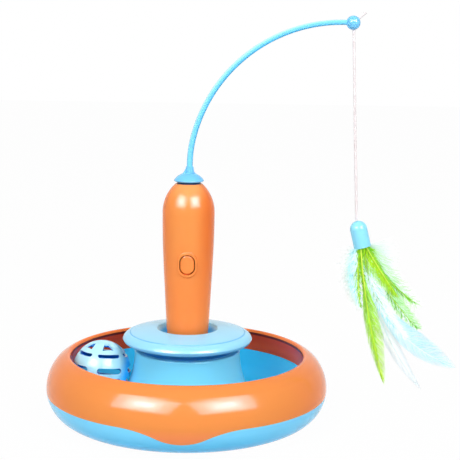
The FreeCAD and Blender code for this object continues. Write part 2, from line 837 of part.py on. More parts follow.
def handle_half(name, front):
    """Half of the handle's shell, with two rings inside that hold the works."""
    wall = dim.handle_wall
    outer = handle_outline(0)
    inner = handle_outline(wall)
    ring_height = 1.4
    holder_ring = 8.5
    upper = inner[3][0] - 0.14
    lower = inner[1][0] + (HOLDER_STOP - inner[1][1]) * HANDLE_TAPER
    outline = [
        (dim.stem_radius - wall, dim.stem_bottom),
        (dim.stem_radius, dim.stem_bottom),
        *outer,
        (MOUTH_BORE, dim.handle_top),
        (MOUTH_BORE, dim.handle_top - 1.6),
        (MOUTH_BORE + 2.0, dim.handle_top - 2.8),
        (inner[3][0], inner[3][1], -(dim.handle_dome_radius - wall)),
        (upper, MOTOR_SEAT, -HANDLE_SIDE_ARC),
        (dim.motor_radius + 0.2, MOTOR_SEAT),
        (dim.motor_radius + 0.2, MOTOR_SEAT - ring_height),
        (upper, MOTOR_SEAT - ring_height),
        (inner[2][0], inner[2][1], -HANDLE_SIDE_ARC),
        (lower, HOLDER_STOP + ring_height),
        (holder_ring, HOLDER_STOP + ring_height),
        (holder_ring, HOLDER_STOP),
        (lower, HOLDER_STOP),
        inner[1],
        inner[0],
    ]
    return revolved(name, outline, turn=180.0, front=front)


HANDLE_SCREWS = ((13.0, 105.0), (-13.0, 105.0), (11.6, 158.0), (-11.6, 158.0))
HANDLE_SCREW_SEAT = 8.5
BUTTON_WIDTH = 9.9
BUTTON_LENGTH = 13.3
BUTTON_GAP = 0.65
BUTTON_SWELL = 0.7
RING_WIDTH = 14.2
RING_LENGTH = 19.0
RING_SWELL = 1.1


def screw_posts(name, front):
    """Posts for the handle screws, from the shell's wall to the middle plane."""
    post = cylinder(name, 2.2, 30.0, (0, 0, 0), (0, -1 if front else 1, 0))
    spots = [((x, 0, z), FreeCAD.Rotation()) for x, z in HANDLE_SCREWS]
    posts = linked_copies(name + "_at", post, spots)
    inside = handle_body(name + "_limit", -0.9)
    return common(name + "_trimmed", fuse(name + "_all", *posts), inside)


def softened(name, bar, swell, rounding):
    """A bar cut off a little outside the handle's surface, with its front edge rounded."""
    face = handle_body(name + "_face", swell)
    whole = common(name + "_whole", bar, face)
    doc.recompute()
    front = face.Shape.Shells[0]
    edges = []
    for number, edge in enumerate(whole.Shape.Edges, start=1):
        middle = edge.valueAt((edge.FirstParameter + edge.LastParameter) / 2)
        if front.distToShape(Part.Vertex(middle))[0] < 1e-4:
            edges.append((number, rounding, rounding))
    rounded = doc.addObject("Part::Fillet", name)
    rounded.Base = whole
    rounded.Edges = edges
    return rounded


def make_front_shell():
    half = handle_half("front_half", True)
    posts = screw_posts("front_post", True)
    seat_depth = 12.0
    ring_bar = rounded_bar(RING_WIDTH, RING_LENGTH, dim.button_height)
    ring = padded("button_ring", "XZ_Plane", ring_bar, 20.0, seat_depth)
    ring = softened("button_ring_raised", ring, RING_SWELL, 0.8)
    core = handle_body("front_core", -1.0)
    ring = cut("button_ring_outside", ring, core)
    gap = 2 * BUTTON_GAP
    hole_bar = rounded_bar(BUTTON_WIDTH + gap, BUTTON_LENGTH + gap, dim.button_height)
    hole = padded("button_hole", "XZ_Plane", hole_bar, 20.0, seat_depth)
    pilots = linked_copies(
        "front_pilot_at",
        cylinder("front_pilot", 0.9, 8.0, (0, 0, 0), (0, -1, 0)),
        [((x, 0, z), FreeCAD.Rotation()) for x, z in HANDLE_SCREWS],
    )
    body = fuse("front_joined", half, posts, ring)
    finish("handle_front_shell", cut("front_cut", body, hole, *pilots))


def make_rear_shell():
    half = handle_half("rear_half", False)
    posts = screw_posts("rear_post", False)
    shank = cylinder("rear_shank_hole", 1.2, 30.0, (0, -1, 0), (0, 1, 0))
    head = cylinder("rear_head_hole", 2.0, 30.0, (0, HANDLE_SCREW_SEAT, 0), (0, 1, 0))
    hole = fuse("rear_hole", shank, head)
    spots = [((x, 0, z), FreeCAD.Rotation()) for x, z in HANDLE_SCREWS]
    holes = linked_copies("rear_hole_at", hole, spots)
    body = fuse("rear_joined", half, posts)
    finish("handle_rear_shell", cut("rear_cut", body, *holes))


def make_handle_screws():
    screw = pan_screw("handle_screw_form", 0.9, 13.0, 1.9, 1.3)
    turn = turned_to((0, -1, 0))
    spots = [((x, HANDLE_SCREW_SEAT, z), turn) for x, z in HANDLE_SCREWS]
    screws = linked_copies("handle_screw_at", screw, spots)
    finish("handle_screws", grouped("handle_screws_group", screws))


def make_end_cap():
    """Battery cap under the stem, with a coin slot."""
    rim = 3.0
    bottom = dim.stem_bottom - rim
    outline = [
        (0, bottom),
        (dim.stem_radius - 1.0, bottom),
        (dim.stem_radius, bottom + 1.0, 1.0),
        (dim.stem_radius, dim.stem_bottom - 0.2),
        (dim.stem_radius - 2.1, dim.stem_bottom - 0.2),
        (dim.stem_radius - 2.1, dim.stem_bottom + 3.2),
        (0, dim.stem_bottom + 3.2),
    ]
    turned = revolved("end_cap_turned", outline)
    slot = box("coin_slot", (Size(13.0), Size(1.8), Size(2.2)), (0, 0, bottom - 0.6))
    finish("end_cap", cut("end_cap_cut", turned, slot))


# Button, circuit board and leads

BOARD_FRONT = -10.2
BOARD_THICKNESS = 1.2


def make_button():
    cap_bar = rounded_bar(BUTTON_WIDTH, BUTTON_LENGTH, dim.button_height)
    back = 15.1
    cap = padded("button_cap", "XZ_Plane", cap_bar, 20.0, back)
    clip_length = 17.4
    clip = box(
        "button_clip",
        (Size(5.0), Size(0.5), Size(clip_length)),
        (0, -back, dim.button_height - clip_length / 2),
    )
    visible = softened("button_visible", cap, BUTTON_SWELL, 0.8)
    finish("push_button", fuse("push_button_form", visible, clip))


def make_circuit_board():
    low = HOLDER_STOP + 1.4
    high = MOTOR_SEAT - 1.4
    middle = (0, BOARD_FRONT + BOARD_THICKNESS / 2, low)
    board = box("board_form", (Size(20.4), Size(BOARD_THICKNESS), high - low), middle)
    finish("circuit_board", board)
    body_depth = 3.4
    body = box(
        "switch_body",
        (Size(6.2), Size(body_depth), Size(6.2)),
        (0, BOARD_FRONT - body_depth / 2, dim.button_height - 3.1),
    )
    plunger_spot = (0, BOARD_FRONT - body_depth, dim.button_height)
    plunger = cylinder("switch_plunger", 1.75, 0.6, plunger_spot, (0, -1, 0))
    finish("tact_switch", fuse("switch_form", body, plunger))


def lead_pair(name, reach, start_height, bend_height):
    """Two leads that rise, or fall, and turn square into the back of the board."""
    radius = 0.6
    start_y = -3.0
    board_back = BOARD_FRONT + BOARD_THICKNESS
    solids = []
    for side in (-1, 1):
        x = side * reach
        points = [(x, start_y, start_height), (x, start_y, bend_height), (x, board_back, bend_height)]
        path, radii = bent_path(points)
        rise = Vector(0, 0, bend_height - start_height)
        ring = Part.Wire(Part.makeCircle(radius, Vector(*points[0]), rise))
        tube = path.makePipeShell([ring], True, False)
        solids.append(tube)
        expected = math.pi * radius * radius * path.Length
        print(name, "bend radius", [round(number, 2) for number in radii],
              "volume share", round(tube.Volume / expected, 4))
    thing = doc.addObject("Part::Feature", name + "_form")
    thing.Shape = Part.makeCompound(solids)
    finish(name, thing)


# Battery holder with three cells


def cell_spot(index):
    """Middle of a cell. The first one is at the back."""
    angle = math.radians(90 + 120 * index)
    return dim.cell_circle * math.cos(angle), dim.cell_circle * math.sin(angle)


HOLDER_HEIGHT = 46.0


def make_battery_holder():
    outer = 12.8
    bottom = dim.cell_bottom - 1.9
    top = dim.cell_bottom + HOLDER_HEIGHT
    body = cylinder("holder_outside", outer, top - bottom, (0, 0, bottom))
    contact_room = cylinder("holder_contact_room", outer - 1.0, 0.4, (0, 0, dim.cell_bottom - 0.4))
    upper_room = cylinder("holder_upper_room", outer - 1.0, 0.4, (0, 0, top - 0.4))
    bores = []
    for index in range(3):
        x, y = cell_spot(index)
        spot = (x, y, dim.cell_bottom - 0.4)
        bores.append(cylinder(f"holder_bore_{index + 1}", dim.cell_radius + 0.1, 47.0, spot))
    finish("battery_holder", cut("holder_cut", body, contact_room, upper_room, *bores))
    lid_height = 2.6
    lid = cylinder("holder_lid_form", outer, lid_height, (0, 0, top))
    finish("battery_holder_lid", lid)


def make_cells():
    for index in range(3):
        x, y = cell_spot(index)
        turned_over = index == 1
        nub = 0.8
        low = dim.cell_bottom + (nub if turned_over else 0)
        nub_low = dim.cell_bottom if turned_over else dim.cell_bottom + dim.cell_length - nub
        name = f"aaa_cell_{index + 1}"
        can = cylinder(name + "_can", dim.cell_radius, dim.cell_length - nub, (x, y, low))
        tip = cylinder(name + "_tip", 1.9, nub, (x, y, nub_low))
        finish(name, fuse(name + "_form", can, tip))


def make_contacts():
    """Sprung plates at both ends: one single plate and one bridge at each end."""
    plate = 0.4
    dimple = 1.1
    holder_top = dim.cell_bottom + HOLDER_HEIGHT
    low = dim.cell_bottom - plate
    high = holder_top - plate

    def tab(name, index, height):
        x, y = cell_spot(index)
        return cylinder(name, 3.6, plate, (x, y, height))

    def spring_dimple(name, index):
        x, y = cell_spot(index)
        return cone(name, 1.2, 2.4, dimple, (x, y, high - dimple))

    def bridge(name, first, second, height):
        width = 5.0
        start = [size.value for size in cell_spot(first)]
        end = [size.value for size in cell_spot(second)]
        centre = [(a + b) / 2 for a, b in zip(start, end)]
        angle = math.degrees(math.atan2(end[1] - start[1], end[0] - start[0]))
        bar = padded(name, "XY_Plane", lying_bar(math.dist(start, end) + width, width), plate)
        return place(bar, (*centre, height), FreeCAD.Rotation(Z_AXIS, angle))

    finish("contact_tab_lower", tab("contact_tab_lower_form", 0, low))
    finish("contact_bridge_lower", bridge("contact_bridge_lower_form", 1, 2, low))
    upper = bridge("contact_bridge_upper_bar", 0, 1, high)
    dimples = [spring_dimple(f"bridge_dimple_{index}", index) for index in (0, 1)]
    finish("contact_bridge_upper", fuse("contact_bridge_upper_form", upper, *dimples))
    single = fuse("contact_tab_upper_form", tab("contact_tab_upper_disc", 2, high),
                  spring_dimple("tab_dimple", 2))
    finish("contact_tab_upper", single)


# Motor, gearbox and its gears

WHEEL_TEETH = 28
PINION_TEETH = 10
PRESSURE_ANGLE = math.radians(25.0)
TOOTH_TRIM = 0.10
MOTOR_SHAFT_RADIUS = 1.0
MOTOR_BOSS_RADIUS = 3.0
OUTPUT_LIFT = 8.4


def involute(angle):
    return math.tan(angle) - angle


def gear_wire(teeth, first_angle):
    """Outline of a spur gear with a tooth at its first angle, in degrees."""
    module = 2 * dim.gear_spacing.value / (WHEEL_TEETH + PINION_TEETH)
    pitch = module * teeth / 2
    base = pitch * math.cos(PRESSURE_ANGLE)
    tip = pitch + 0.9 * module
    root = pitch - 1.15 * module
    half_pitch_tooth = math.pi / (2 * teeth) - TOOTH_TRIM / (4 * pitch)
    flank_low = max(base, root)
    steps = 4

    def half_tooth(radius):
        lean = math.acos(min(base / radius, 1.0))
        return half_pitch_tooth + involute(PRESSURE_ANGLE) - involute(lean)

    def spot(radius, angle):
        return Vector(radius * math.cos(angle), radius * math.sin(angle), 0)

    radii = [flank_low + (tip - flank_low) * step / steps for step in range(steps + 1)]
    edges = []
    for tooth in range(teeth):
        middle = math.radians(first_angle) + 2 * math.pi * tooth / teeth
        right = [spot(radius, middle - half_tooth(radius)) for radius in radii]
        left = [spot(radius, middle + half_tooth(radius)) for radius in reversed(radii)]
        foot = half_tooth(flank_low)
        next_foot = middle + 2 * math.pi / teeth - foot
        if root < base:
            edges.append(Part.LineSegment(spot(root, middle - foot), right[0]).toShape())
        for flank in (right, left):
            curve = Part.BSplineCurve()
            curve.interpolate(flank)
            if flank is left:
                top = spot(tip, middle)
                edges.append(Part.Arc(right[-1], top, left[0]).toShape())
            edges.append(curve.toShape())
        if root < base:
            edges.append(Part.LineSegment(left[-1], spot(root, middle + foot)).toShape())
        gap_middle = middle + math.pi / teeth
        valley = Part.Arc(spot(root, middle + foot), spot(root, gap_middle), spot(root, next_foot))
        edges.append(valley.toShape())
    return Part.Wire(edges)


def toothed(teeth, low, high, offset):
    """A toothed disc on one of the two axes. On the main axis, where the offset is 0,
    a tooth points towards the other axis. On the other axis a gap points back at it."""
    first = 90.0 if offset == 0 else 270.0 + 180.0 / teeth
    face = Part.Face(gear_wire(teeth, first))
    disc = face.extrude(Vector(0, 0, high - low))
    disc.translate(Vector(0, offset, low))
    return disc


def gear_node(name, toothed_discs, bore, offset):
    """One gear, or a compound gear of two toothed discs, on its bore."""
    solid = toothed_discs[0]
    for disc in toothed_discs[1:]:
        solid = solid.fuse(disc)
    drill = Part.makeCylinder(bore, 60, Vector(0, offset, dim.gear_floor.value - 20))
    thing = doc.addObject("Part::Feature", name + "_form")
    thing.Shape = solid.cut(drill).removeSplitter()
    finish(name, thing)


def make_gears():
    """Four stages on two axes, from the motor's pinion to the output gear."""
    floor = dim.gear_floor.value
    offset = dim.gear_spacing.value
    running = dim.pin_radius.value + 0.05
    motor_pinion = toothed(PINION_TEETH, floor + 0.8, floor + 3.0, 0)
    gear_node("motor_pinion", [motor_pinion], MOTOR_SHAFT_RADIUS, 0)
    stages = (
        ("compound_gear_1", 1.2, offset),
        ("compound_gear_2", 3.6, 0),
        ("compound_gear_3", 6.0, offset),
    )
    wheel_face = 1.6
    pinion_face = 2.6
    for name, lift, across in stages:
        low = floor + lift
        wheel = toothed(WHEEL_TEETH, low, low + wheel_face, across)
        pinion = toothed(PINION_TEETH, low + wheel_face, low + wheel_face + pinion_face, across)
        gear_node(name, [wheel, pinion], running, across)
    output = toothed(WHEEL_TEETH, floor + OUTPUT_LIFT, floor + OUTPUT_LIFT + 2.0, 0)
    gear_node("output_gear", [output], dim.shaft_radius.value, 0)


def make_motor():
    can_high = MOTOR_SEAT
    can_low = can_high - 21.0
    boss_high = can_high + 1.4
    can = cylinder("motor_can_outside", dim.motor_radius, can_high - can_low, (0, 0, can_low))
    boss = cylinder("motor_boss", MOTOR_BOSS_RADIUS, boss_high - can_high, (0, 0, can_high))
    bore = cylinder("motor_bore", MOTOR_SHAFT_RADIUS + 0.05, 5.0, (0, 0, boss_high - 5.0))
    body = fuse("motor_can_body", can, boss)
    finish("motor_can", cut("motor_can_cut", body, bore))
    bell = cylinder("end_bell_form", dim.motor_radius - 0.2, 2.5, (0, 0, can_low - 2.5))
    finish("motor_end_bell", bell)
    shaft_low = boss_high - 4.9
    shaft_length = dim.gear_floor + 3.2 - shaft_low
    shaft = cylinder("motor_shaft_form", MOTOR_SHAFT_RADIUS, shaft_length, (0, 0, shaft_low))
    finish("motor_shaft", shaft)


def make_gearbox():
    """A base plate, a cover that holds the bush, and the fixed pin of the second axis."""
    outer = 15.6
    wall = 1.4
    plate = 1.6
    room = 11.8
    floor = dim.gear_floor
    base = cylinder("gearbox_base_plate", outer, plate, (0, 0, floor - plate))
    pass_hole = cylinder("gearbox_pass", MOTOR_BOSS_RADIUS + 0.05, 4, (0, 0, floor - 3))
    finish("gearbox_base", cut("gearbox_base_cut", base, pass_hole))
    top = floor + room
    outline = [
        (outer - wall, floor),
        (outer, floor),
        (outer, top + plate),
        (dim.shaft_radius + 0.5, top + plate),
        (dim.shaft_radius + 0.5, top),
        (outer - wall, top),
    ]
    finish("gearbox_cover", revolved("gearbox_cover_turned", outline))
    pin = cylinder("offset_axle_form", dim.pin_radius, room, (0, dim.gear_spacing, floor))
    finish("offset_axle", pin)
    bush_outline = [
        (dim.shaft_radius + 0.05, top + plate),
        (5.5, top + plate),
        (5.5, top + plate + 1.6),
        (4.2, top + plate + 1.6),
        (4.2, top + plate + 8.0),
        (dim.shaft_radius + 0.05, top + plate + 8.0),
    ]
    finish("output_bush", revolved("output_bush_turned", bush_outline))


# Rotor: output shaft, cap, arm and bead

ROTOR_CAP_BOTTOM = 173.5
ROTOR_DOME_TOP = 179.8
SPIGOT_BOTTOM = 163.5
SPIGOT_RADIUS = 8.25
SHAFT_TOP = 172.0
NECK_TOP = 184.5
ROD_BOTTOM = 178.0
# The arm stands a little to the right of the axis that it turns on.
ARM_OFFSET = 0.5
GUSSET_ANGLE = -69.0


def make_output_shaft():
    journal_low = dim.gear_floor + 3.4
    shoulder = dim.gear_floor + OUTPUT_LIFT
    outline = [
        (0, journal_low),
        (dim.pin_radius, journal_low),
        (dim.pin_radius, shoulder),
        (dim.shaft_radius, shoulder),
        (dim.shaft_radius, SHAFT_TOP),
        (0, SHAFT_TOP),
    ]
    finish("output_shaft", revolved("output_shaft_turned", outline))


def make_rotor_cap():
    """A shallow dome over the handle's mouth, with a neck and four small gussets."""
    widest = ROTOR_CAP_BOTTOM + 1.0
    top = ROTOR_DOME_TOP
    outline = [
        (0, SHAFT_TOP),
        (dim.shaft_radius, SHAFT_TOP),
        (dim.shaft_radius, SPIGOT_BOTTOM),
        (SPIGOT_RADIUS, SPIGOT_BOTTOM),
        (SPIGOT_RADIUS, ROTOR_CAP_BOTTOM),
        (dim.cap_radius - 2.2, ROTOR_CAP_BOTTOM),
        (dim.cap_radius, widest, 2.4),
        (dim.cap_radius - 0.45, widest + 0.8, 1.2),
        (3.5, top, 11.0),
        (0, top),
    ]
    dome = revolved("rotor_cap_turned", outline)
    neck_foot = top - 0.8
    neck_outline = [(0, neck_foot), (3.45, neck_foot), (2.7, NECK_TOP), (0, NECK_TOP)]
    neck = place(revolved("rotor_neck", neck_outline), (ARM_OFFSET, 0, 0))
    thickness = 1.2
    gusset_outline = [
        (2.0, top - 1.6),
        (6.6, top - 1.6),
        (6.6, top - 1.1),
        (2.7, top + 3.0, -5.8),
    ]
    gusset = padded("gusset", "XZ_Plane", gusset_outline, thickness, -thickness / 2)
    gussets = linked_copies("gusset_at", gusset, around(4, 0, 0, GUSSET_ANGLE))
    bore = cylinder("rod_bore", dim.rod_radius, 10.0, (ARM_OFFSET, 0, ROD_BOTTOM))
    body = fuse("rotor_cap_form", dome, neck, *gussets)
    finish("rotor_cap", cut("rotor_cap_cut", body, bore))


FIRST_BEND_RADIUS = 83.0
FIRST_BEND_ANGLE = 13.5
SECOND_BEND_RADIUS = 107.8
SECOND_BEND_ANGLE = 78.8


def arm_stations():
    """The arm's centreline: corners, arc middles and the direction at the tip."""
    first = math.radians(FIRST_BEND_ANGLE)
    second = math.radians(SECOND_BEND_ANGLE)
    rise = dim.rod_bend_height.value
    first_centre = (ARM_OFFSET + FIRST_BEND_RADIUS, rise)

    def on_first(turn):
        x = first_centre[0] - FIRST_BEND_RADIUS * math.cos(turn)
        return Vector(x, 0, first_centre[1] + FIRST_BEND_RADIUS * math.sin(turn))

    join = on_first(first)
    centre_x = join.x + SECOND_BEND_RADIUS * math.cos(first)
    centre_z = join.z - SECOND_BEND_RADIUS * math.sin(first)

    def on_second(turn):
        x = centre_x - SECOND_BEND_RADIUS * math.cos(turn)
        return Vector(x, 0, centre_z + SECOND_BEND_RADIUS * math.sin(turn))

    end = on_second(first + second)
    heading = math.pi / 2 - first - second
    direction = Vector(math.cos(heading), 0, math.sin(heading))
    return {
        "start": Vector(ARM_OFFSET, 0, ROD_BOTTOM),
        "bend": on_first(0),
        "first_middle": on_first(first / 2),
        "join": join,
        "second_middle": on_second(first + second / 2),
        "end": end,
        "direction": direction,
    }


def make_arm():
    """A tapered rod along two tangent arcs, from the cap to the bead."""
    stations = arm_stations()
    path = doc.addObject("Part::Feature", "arm_path")
    path.Shape = Part.Wire([
        Part.LineSegment(stations["start"], stations["bend"]).toShape(),
        Part.Arc(stations["bend"], stations["first_middle"], stations["join"]).toShape(),
        Part.Arc(stations["join"], stations["second_middle"], stations["end"]).toShape(),
    ])
    root = doc.addObject("Part::Circle", "arm_root_section")
    bind(root, "Radius", dim.rod_radius)
    root.Placement = FreeCAD.Placement(stations["start"], FreeCAD.Rotation())
    tip = doc.addObject("Part::Circle", "arm_tip_section")
    bind(tip, "Radius", dim.rod_tip_radius)
    tip.Placement = FreeCAD.Placement(stations["end"], turned_to(stations["direction"]))
    rod = doc.addObject("Part::Sweep", "arm_rod_form")
    rod.Sections = [root, tip]
    rod.Spine = (path, ["Edge1", "Edge2", "Edge3"])
    rod.Solid = True
    rod.Frenet = True
    rod.Transition = "Transformed"
    finish("arm_rod", rod)


# How deep the arm's tip sits in the bead, and where the cord's cut end points.
TIP_DEPTH = 2.4
CORD_END_DIRECTION = Vector(0.76, 0, 0.65)
CORD_END_LENGTH = 8.3


def bead_centre():
    stations = arm_stations()
    reach = dim.bead_radius.value - TIP_DEPTH
    return stations["end"] + stations["direction"] * reach


def make_bead():
    """The bead on the arm's tip, and the cut end of the cord that comes out of it."""
    stations = arm_stations()
    centre = bead_centre()
    ball = sphere("bead_form", dim.bead_radius, tuple(centre))
    back = stations["end"] - stations["direction"] * 4
    seat = cylinder("bead_rod_seat", dim.rod_tip_radius + 0.06, 4.02, tuple(back),
                    tuple(stations["direction"]))
    outward = FreeCAD.Vector(CORD_END_DIRECTION).normalize()
    start = centre + outward * (dim.bead_radius.value - 2.0)
    cord_seat = cylinder("bead_cord_seat", dim.cord_radius, 4.0, tuple(start), tuple(outward))
    finish("arm_tip_bead", cut("bead_cut", ball, seat, cord_seat))
    end = cylinder("cord_end_form", dim.cord_radius, CORD_END_LENGTH, tuple(start), tuple(outward))
    finish("cord_end", end)


# Cord, feather cap and feathers

CORD_BOTTOM = Vector(121.1, 0, 147.3)
BEAD_GAP = 0.3
FERRULE_CENTRE = Vector(122.9, 0, 140.85)
FERRULE_LEAN = 14.0
PLUG_REACH = 12.4


def make_cord():
    """The cord hangs straight under the feathers' weight, so it is one straight run."""
    down = (CORD_BOTTOM - bead_centre()).normalize()
    top = bead_centre() + down * (dim.bead_radius.value + BEAD_GAP)
    along = CORD_BOTTOM - top
    cord = cylinder("teaser_cord_form", dim.cord_radius, along.Length, tuple(top), tuple(along))
    finish("teaser_cord", cord)
    print("cord length", round(along.Length, 1))


def make_feather_cap():
    lean = FreeCAD.Rotation(Y_AXIS, -FERRULE_LEAN)
    outer = dim.ferrule_radius
    inner = outer - 1.2
    mouth = -dim.ferrule_reach
    outline = [
        (0, outer),
        (outer, 0, -outer),
        (outer, mouth + 0.4),
        (outer - 0.4, mouth, -0.4),
        (inner, mouth),
        (inner, -2.0),
        (0, -2.0),
    ]
    cap = revolved("feather_cap_turned", outline)
    finish("feather_cap", place(cap, tuple(FERRULE_CENTRE), lean))
    plug_length = 6.0
    along = lean.multVec(Vector(0, 0, -1))
    plug_start = FERRULE_CENTRE + along * (PLUG_REACH - plug_length)
    plug = cylinder("quill_plug_form", inner, plug_length, tuple(plug_start), tuple(along))
    finish("quill_plug", plug)


# Each feather: root across the cap, tip x and z, sag of its spine, width and layer.
# The layers lie one behind another and lean apart, the lowest number in front.
FEATHERS = (
    ("green_feather_front", -1.6, (143.0, 30.0), -2.6, 13.0, -3.5),
    ("green_feather_left", -2.0, (126.0, 82.8), -2.0, 10.0, -2.5),
    ("green_feather_middle", 2.2, (153.7, 90.6), -0.5, 12.0, -1.5),
    ("blue_feather_large", 0.8, (197.5, 39.6), -17.5, 18.0, -0.5),
    ("white_feather", 0.4, (173.0, 21.4), -8.0, 10.0, 0.5),
    ("green_feather_upper", 2.9, (167.0, 85.6), -3.8, 12.0, 1.5),
    ("green_feather_lower", 2.0, (169.6, 66.4), -4.0, 14.0, 2.5),
    ("cyan_feather_left", -2.2, (128.4, 79.7), -5.0, 12.0, 3.5),
)
LAYER_STEP = 0.92
LAYER_LEAN = 2.2
VANE_THICKNESS = 0.4
QUILL_THICKNESS = 0.7


def feather_form(length, sag, width):
    """A curved leaf with a quill, flat in the XZ plane, its root at the origin and its
    tip on -Z."""
    bare = 5.0

    def spine(share, side=0.0):
        return Vector(4 * sag * share * (1 - share) + side, 0, -length * share)

    def strip(start, left, right, tip, thickness):
        shift = Vector(0, thickness / 2, 0)
        edges = [
            Part.Arc(start[0] - shift, left - shift, tip - shift).toShape(),
            Part.Arc(tip - shift, right - shift, start[1] - shift).toShape(),
        ]
        if start[0].distanceToPoint(start[1]) > 1e-6:
            edges.append(Part.LineSegment(start[1] - shift, start[0] - shift).toShape())
        return Part.Face(Part.Wire(edges)).extrude(shift * 2)

    bare_share = bare / length
    vane_root = spine(bare_share)
    tip = spine(1.0)
    middle = 0.55
    vane = strip((vane_root, vane_root), spine(middle, -width / 2), spine(middle, width / 2),
                 tip, VANE_THICKNESS)
    half = 0.45
    quill = strip((spine(0, -half), spine(0, half)), spine(0.4, -half * 0.75),
                  spine(0.4, half * 0.75), spine(0.85), QUILL_THICKNESS)
    return vane.fuse(quill)


def make_feathers():
    lean = FreeCAD.Rotation(Y_AXIS, -FERRULE_LEAN)
    mouth = FERRULE_CENTRE + lean.multVec(Vector(0, 0, -(PLUG_REACH + 0.35)))
    across = lean.multVec(Vector(1, 0, 0))
    for name, root_across, (tip_x, tip_z), sag, width, layer in FEATHERS:
        root = mouth + across * root_across + Vector(0, layer * LAYER_STEP, 0)
        run = Vector(tip_x, root.y, tip_z) - root
        tilt = layer * LAYER_LEAN
        length = run.Length / math.cos(math.radians(tilt))
        heading = math.degrees(math.atan2(run.x, -run.z))
        turn = FreeCAD.Rotation(Y_AXIS, -heading) * FreeCAD.Rotation(X_AXIS, tilt)
        thing = doc.addObject("Part::Feature", name + "_form")
        thing.Shape = feather_form(length, sag, width)
        thing.Placement = FreeCAD.Placement(root, turn)
        finish(name, thing)


# Build


def build():
    lobes, recess = make_lobe_tools()
    make_bottom_shell(recess)
    make_rim_ring(lobes)
    make_track_tray()
    make_feet()
    make_base_screws()
    make_socket()
    make_collar()
    make_collar_screws()
    make_ball()
    make_bell()
    make_front_shell()
    make_rear_shell()
    make_handle_screws()
    make_end_cap()
    make_button()
    make_circuit_board()
    lead_pair("battery_leads", 6.4, HOLDER_STOP.value, 101.0)
    lead_pair("motor_leads", 4.0, MOTOR_SEAT.value - 23.5, 108.0)
    make_battery_holder()
    make_cells()
    make_contacts()
    make_motor()
    make_gearbox()
    make_gears()
    make_output_shaft()
    make_rotor_cap()
    make_arm()
    make_bead()
    make_cord()
    make_feather_cap()
    make_feathers()
    doc.recompute()


def check():
    """Stop before writing anything if an object failed or a shape is not sound."""
    faults = []
    for thing in doc.Objects:
        if "Invalid" in thing.State or "Error" in thing.State:
            faults.append(f"{thing.Name}: {thing.State}")
    for name, thing in nodes:
        if thing.Shape.isNull() or not thing.Shape.isValid():
            faults.append(f"{name}: shape is not sound")
        elif not thing.Shape.Solids:
            faults.append(f"{name}: no solid")
    if faults:
        raise RuntimeError("; ".join(faults))


def write_files():
    os.makedirs("parts", exist_ok=True)
    for name, thing in nodes:
        thing.Shape.exportStep(f"parts/{name}.step")
        low = thing.Shape.optimalBoundingBox(False, False)
        print(f"{name:24} solids {len(thing.Shape.Solids)} volume {thing.Shape.Volume:10.1f}",
              f"x {low.XMin:7.1f} {low.XMax:7.1f} y {low.YMin:7.1f} {low.YMax:7.1f}",
              f"z {low.ZMin:6.1f} {low.ZMax:6.1f}")


build()
check()
write_files()
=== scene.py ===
import bpy
import math
import random
from mathutils import Matrix, Vector


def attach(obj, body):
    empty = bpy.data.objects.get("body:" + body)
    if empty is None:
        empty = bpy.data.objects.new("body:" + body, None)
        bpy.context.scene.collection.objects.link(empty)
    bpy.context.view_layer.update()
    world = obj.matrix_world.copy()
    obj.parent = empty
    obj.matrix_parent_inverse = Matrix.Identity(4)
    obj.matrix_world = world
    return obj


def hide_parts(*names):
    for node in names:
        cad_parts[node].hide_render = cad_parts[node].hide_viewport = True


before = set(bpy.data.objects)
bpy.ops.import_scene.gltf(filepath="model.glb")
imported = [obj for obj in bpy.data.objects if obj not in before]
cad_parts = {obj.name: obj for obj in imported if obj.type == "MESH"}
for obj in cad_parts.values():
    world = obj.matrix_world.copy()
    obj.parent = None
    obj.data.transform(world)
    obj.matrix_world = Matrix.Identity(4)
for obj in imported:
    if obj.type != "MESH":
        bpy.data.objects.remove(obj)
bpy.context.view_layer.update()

# The looks of the feather track cat toy: moulded plastics, the cord and the feathers.
# Lengths are in metres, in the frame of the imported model. MM turns millimetres into metres.

MM = 0.001


def millimetres(*numbers):
    return Vector(numbers) * MM


# Camera, as the photograph was taken: from the front, a little above, rolled by a degree

CAMERA_SPOT = millimetres(30.0, -800.0, 260.5)
CAMERA_PITCH = math.radians(8.64)
CAMERA_ROLL = math.radians(0.85)
CLIP_NEAR = 0.01
CLIP_FAR = 20.0
IMAGE_SIDE = 460
FOCAL_PIXELS = 1120.0
SENSOR_WIDTH = 36.0


def make_camera():
    data = bpy.data.cameras.new("camera")
    data.sensor_width = SENSOR_WIDTH
    data.lens = FOCAL_PIXELS / IMAGE_SIDE * SENSOR_WIDTH
    data.clip_start = CLIP_NEAR
    data.clip_end = CLIP_FAR
    camera = bpy.data.objects.new("camera", data)
    bpy.context.scene.collection.objects.link(camera)
    level_right = Vector((1, 0, 0))
    level_up = Vector((0, math.sin(CAMERA_PITCH), math.cos(CAMERA_PITCH)))
    back = Vector((0, -math.cos(CAMERA_PITCH), math.sin(CAMERA_PITCH)))
    right = level_right * math.cos(CAMERA_ROLL) + level_up * math.sin(CAMERA_ROLL)
    up = level_up * math.cos(CAMERA_ROLL) - level_right * math.sin(CAMERA_ROLL)
    turn = Matrix((right, up, back)).transposed().to_4x4()
    camera.matrix_world = Matrix.Translation(CAMERA_SPOT) @ turn
    bpy.context.scene.camera = camera


# Studio: white surroundings, a pale floor, two soft boxes in front and a panel above

AMBIENT = 0.40
BACKDROP = 1.0
WHITE_LIGHT = (1, 1, 1, 1)
FLOOR_REACH = 6.0
FLOOR_PAPER = (0.72, 0.72, 0.72, 1)
FLOOR_GLOW = 0.98


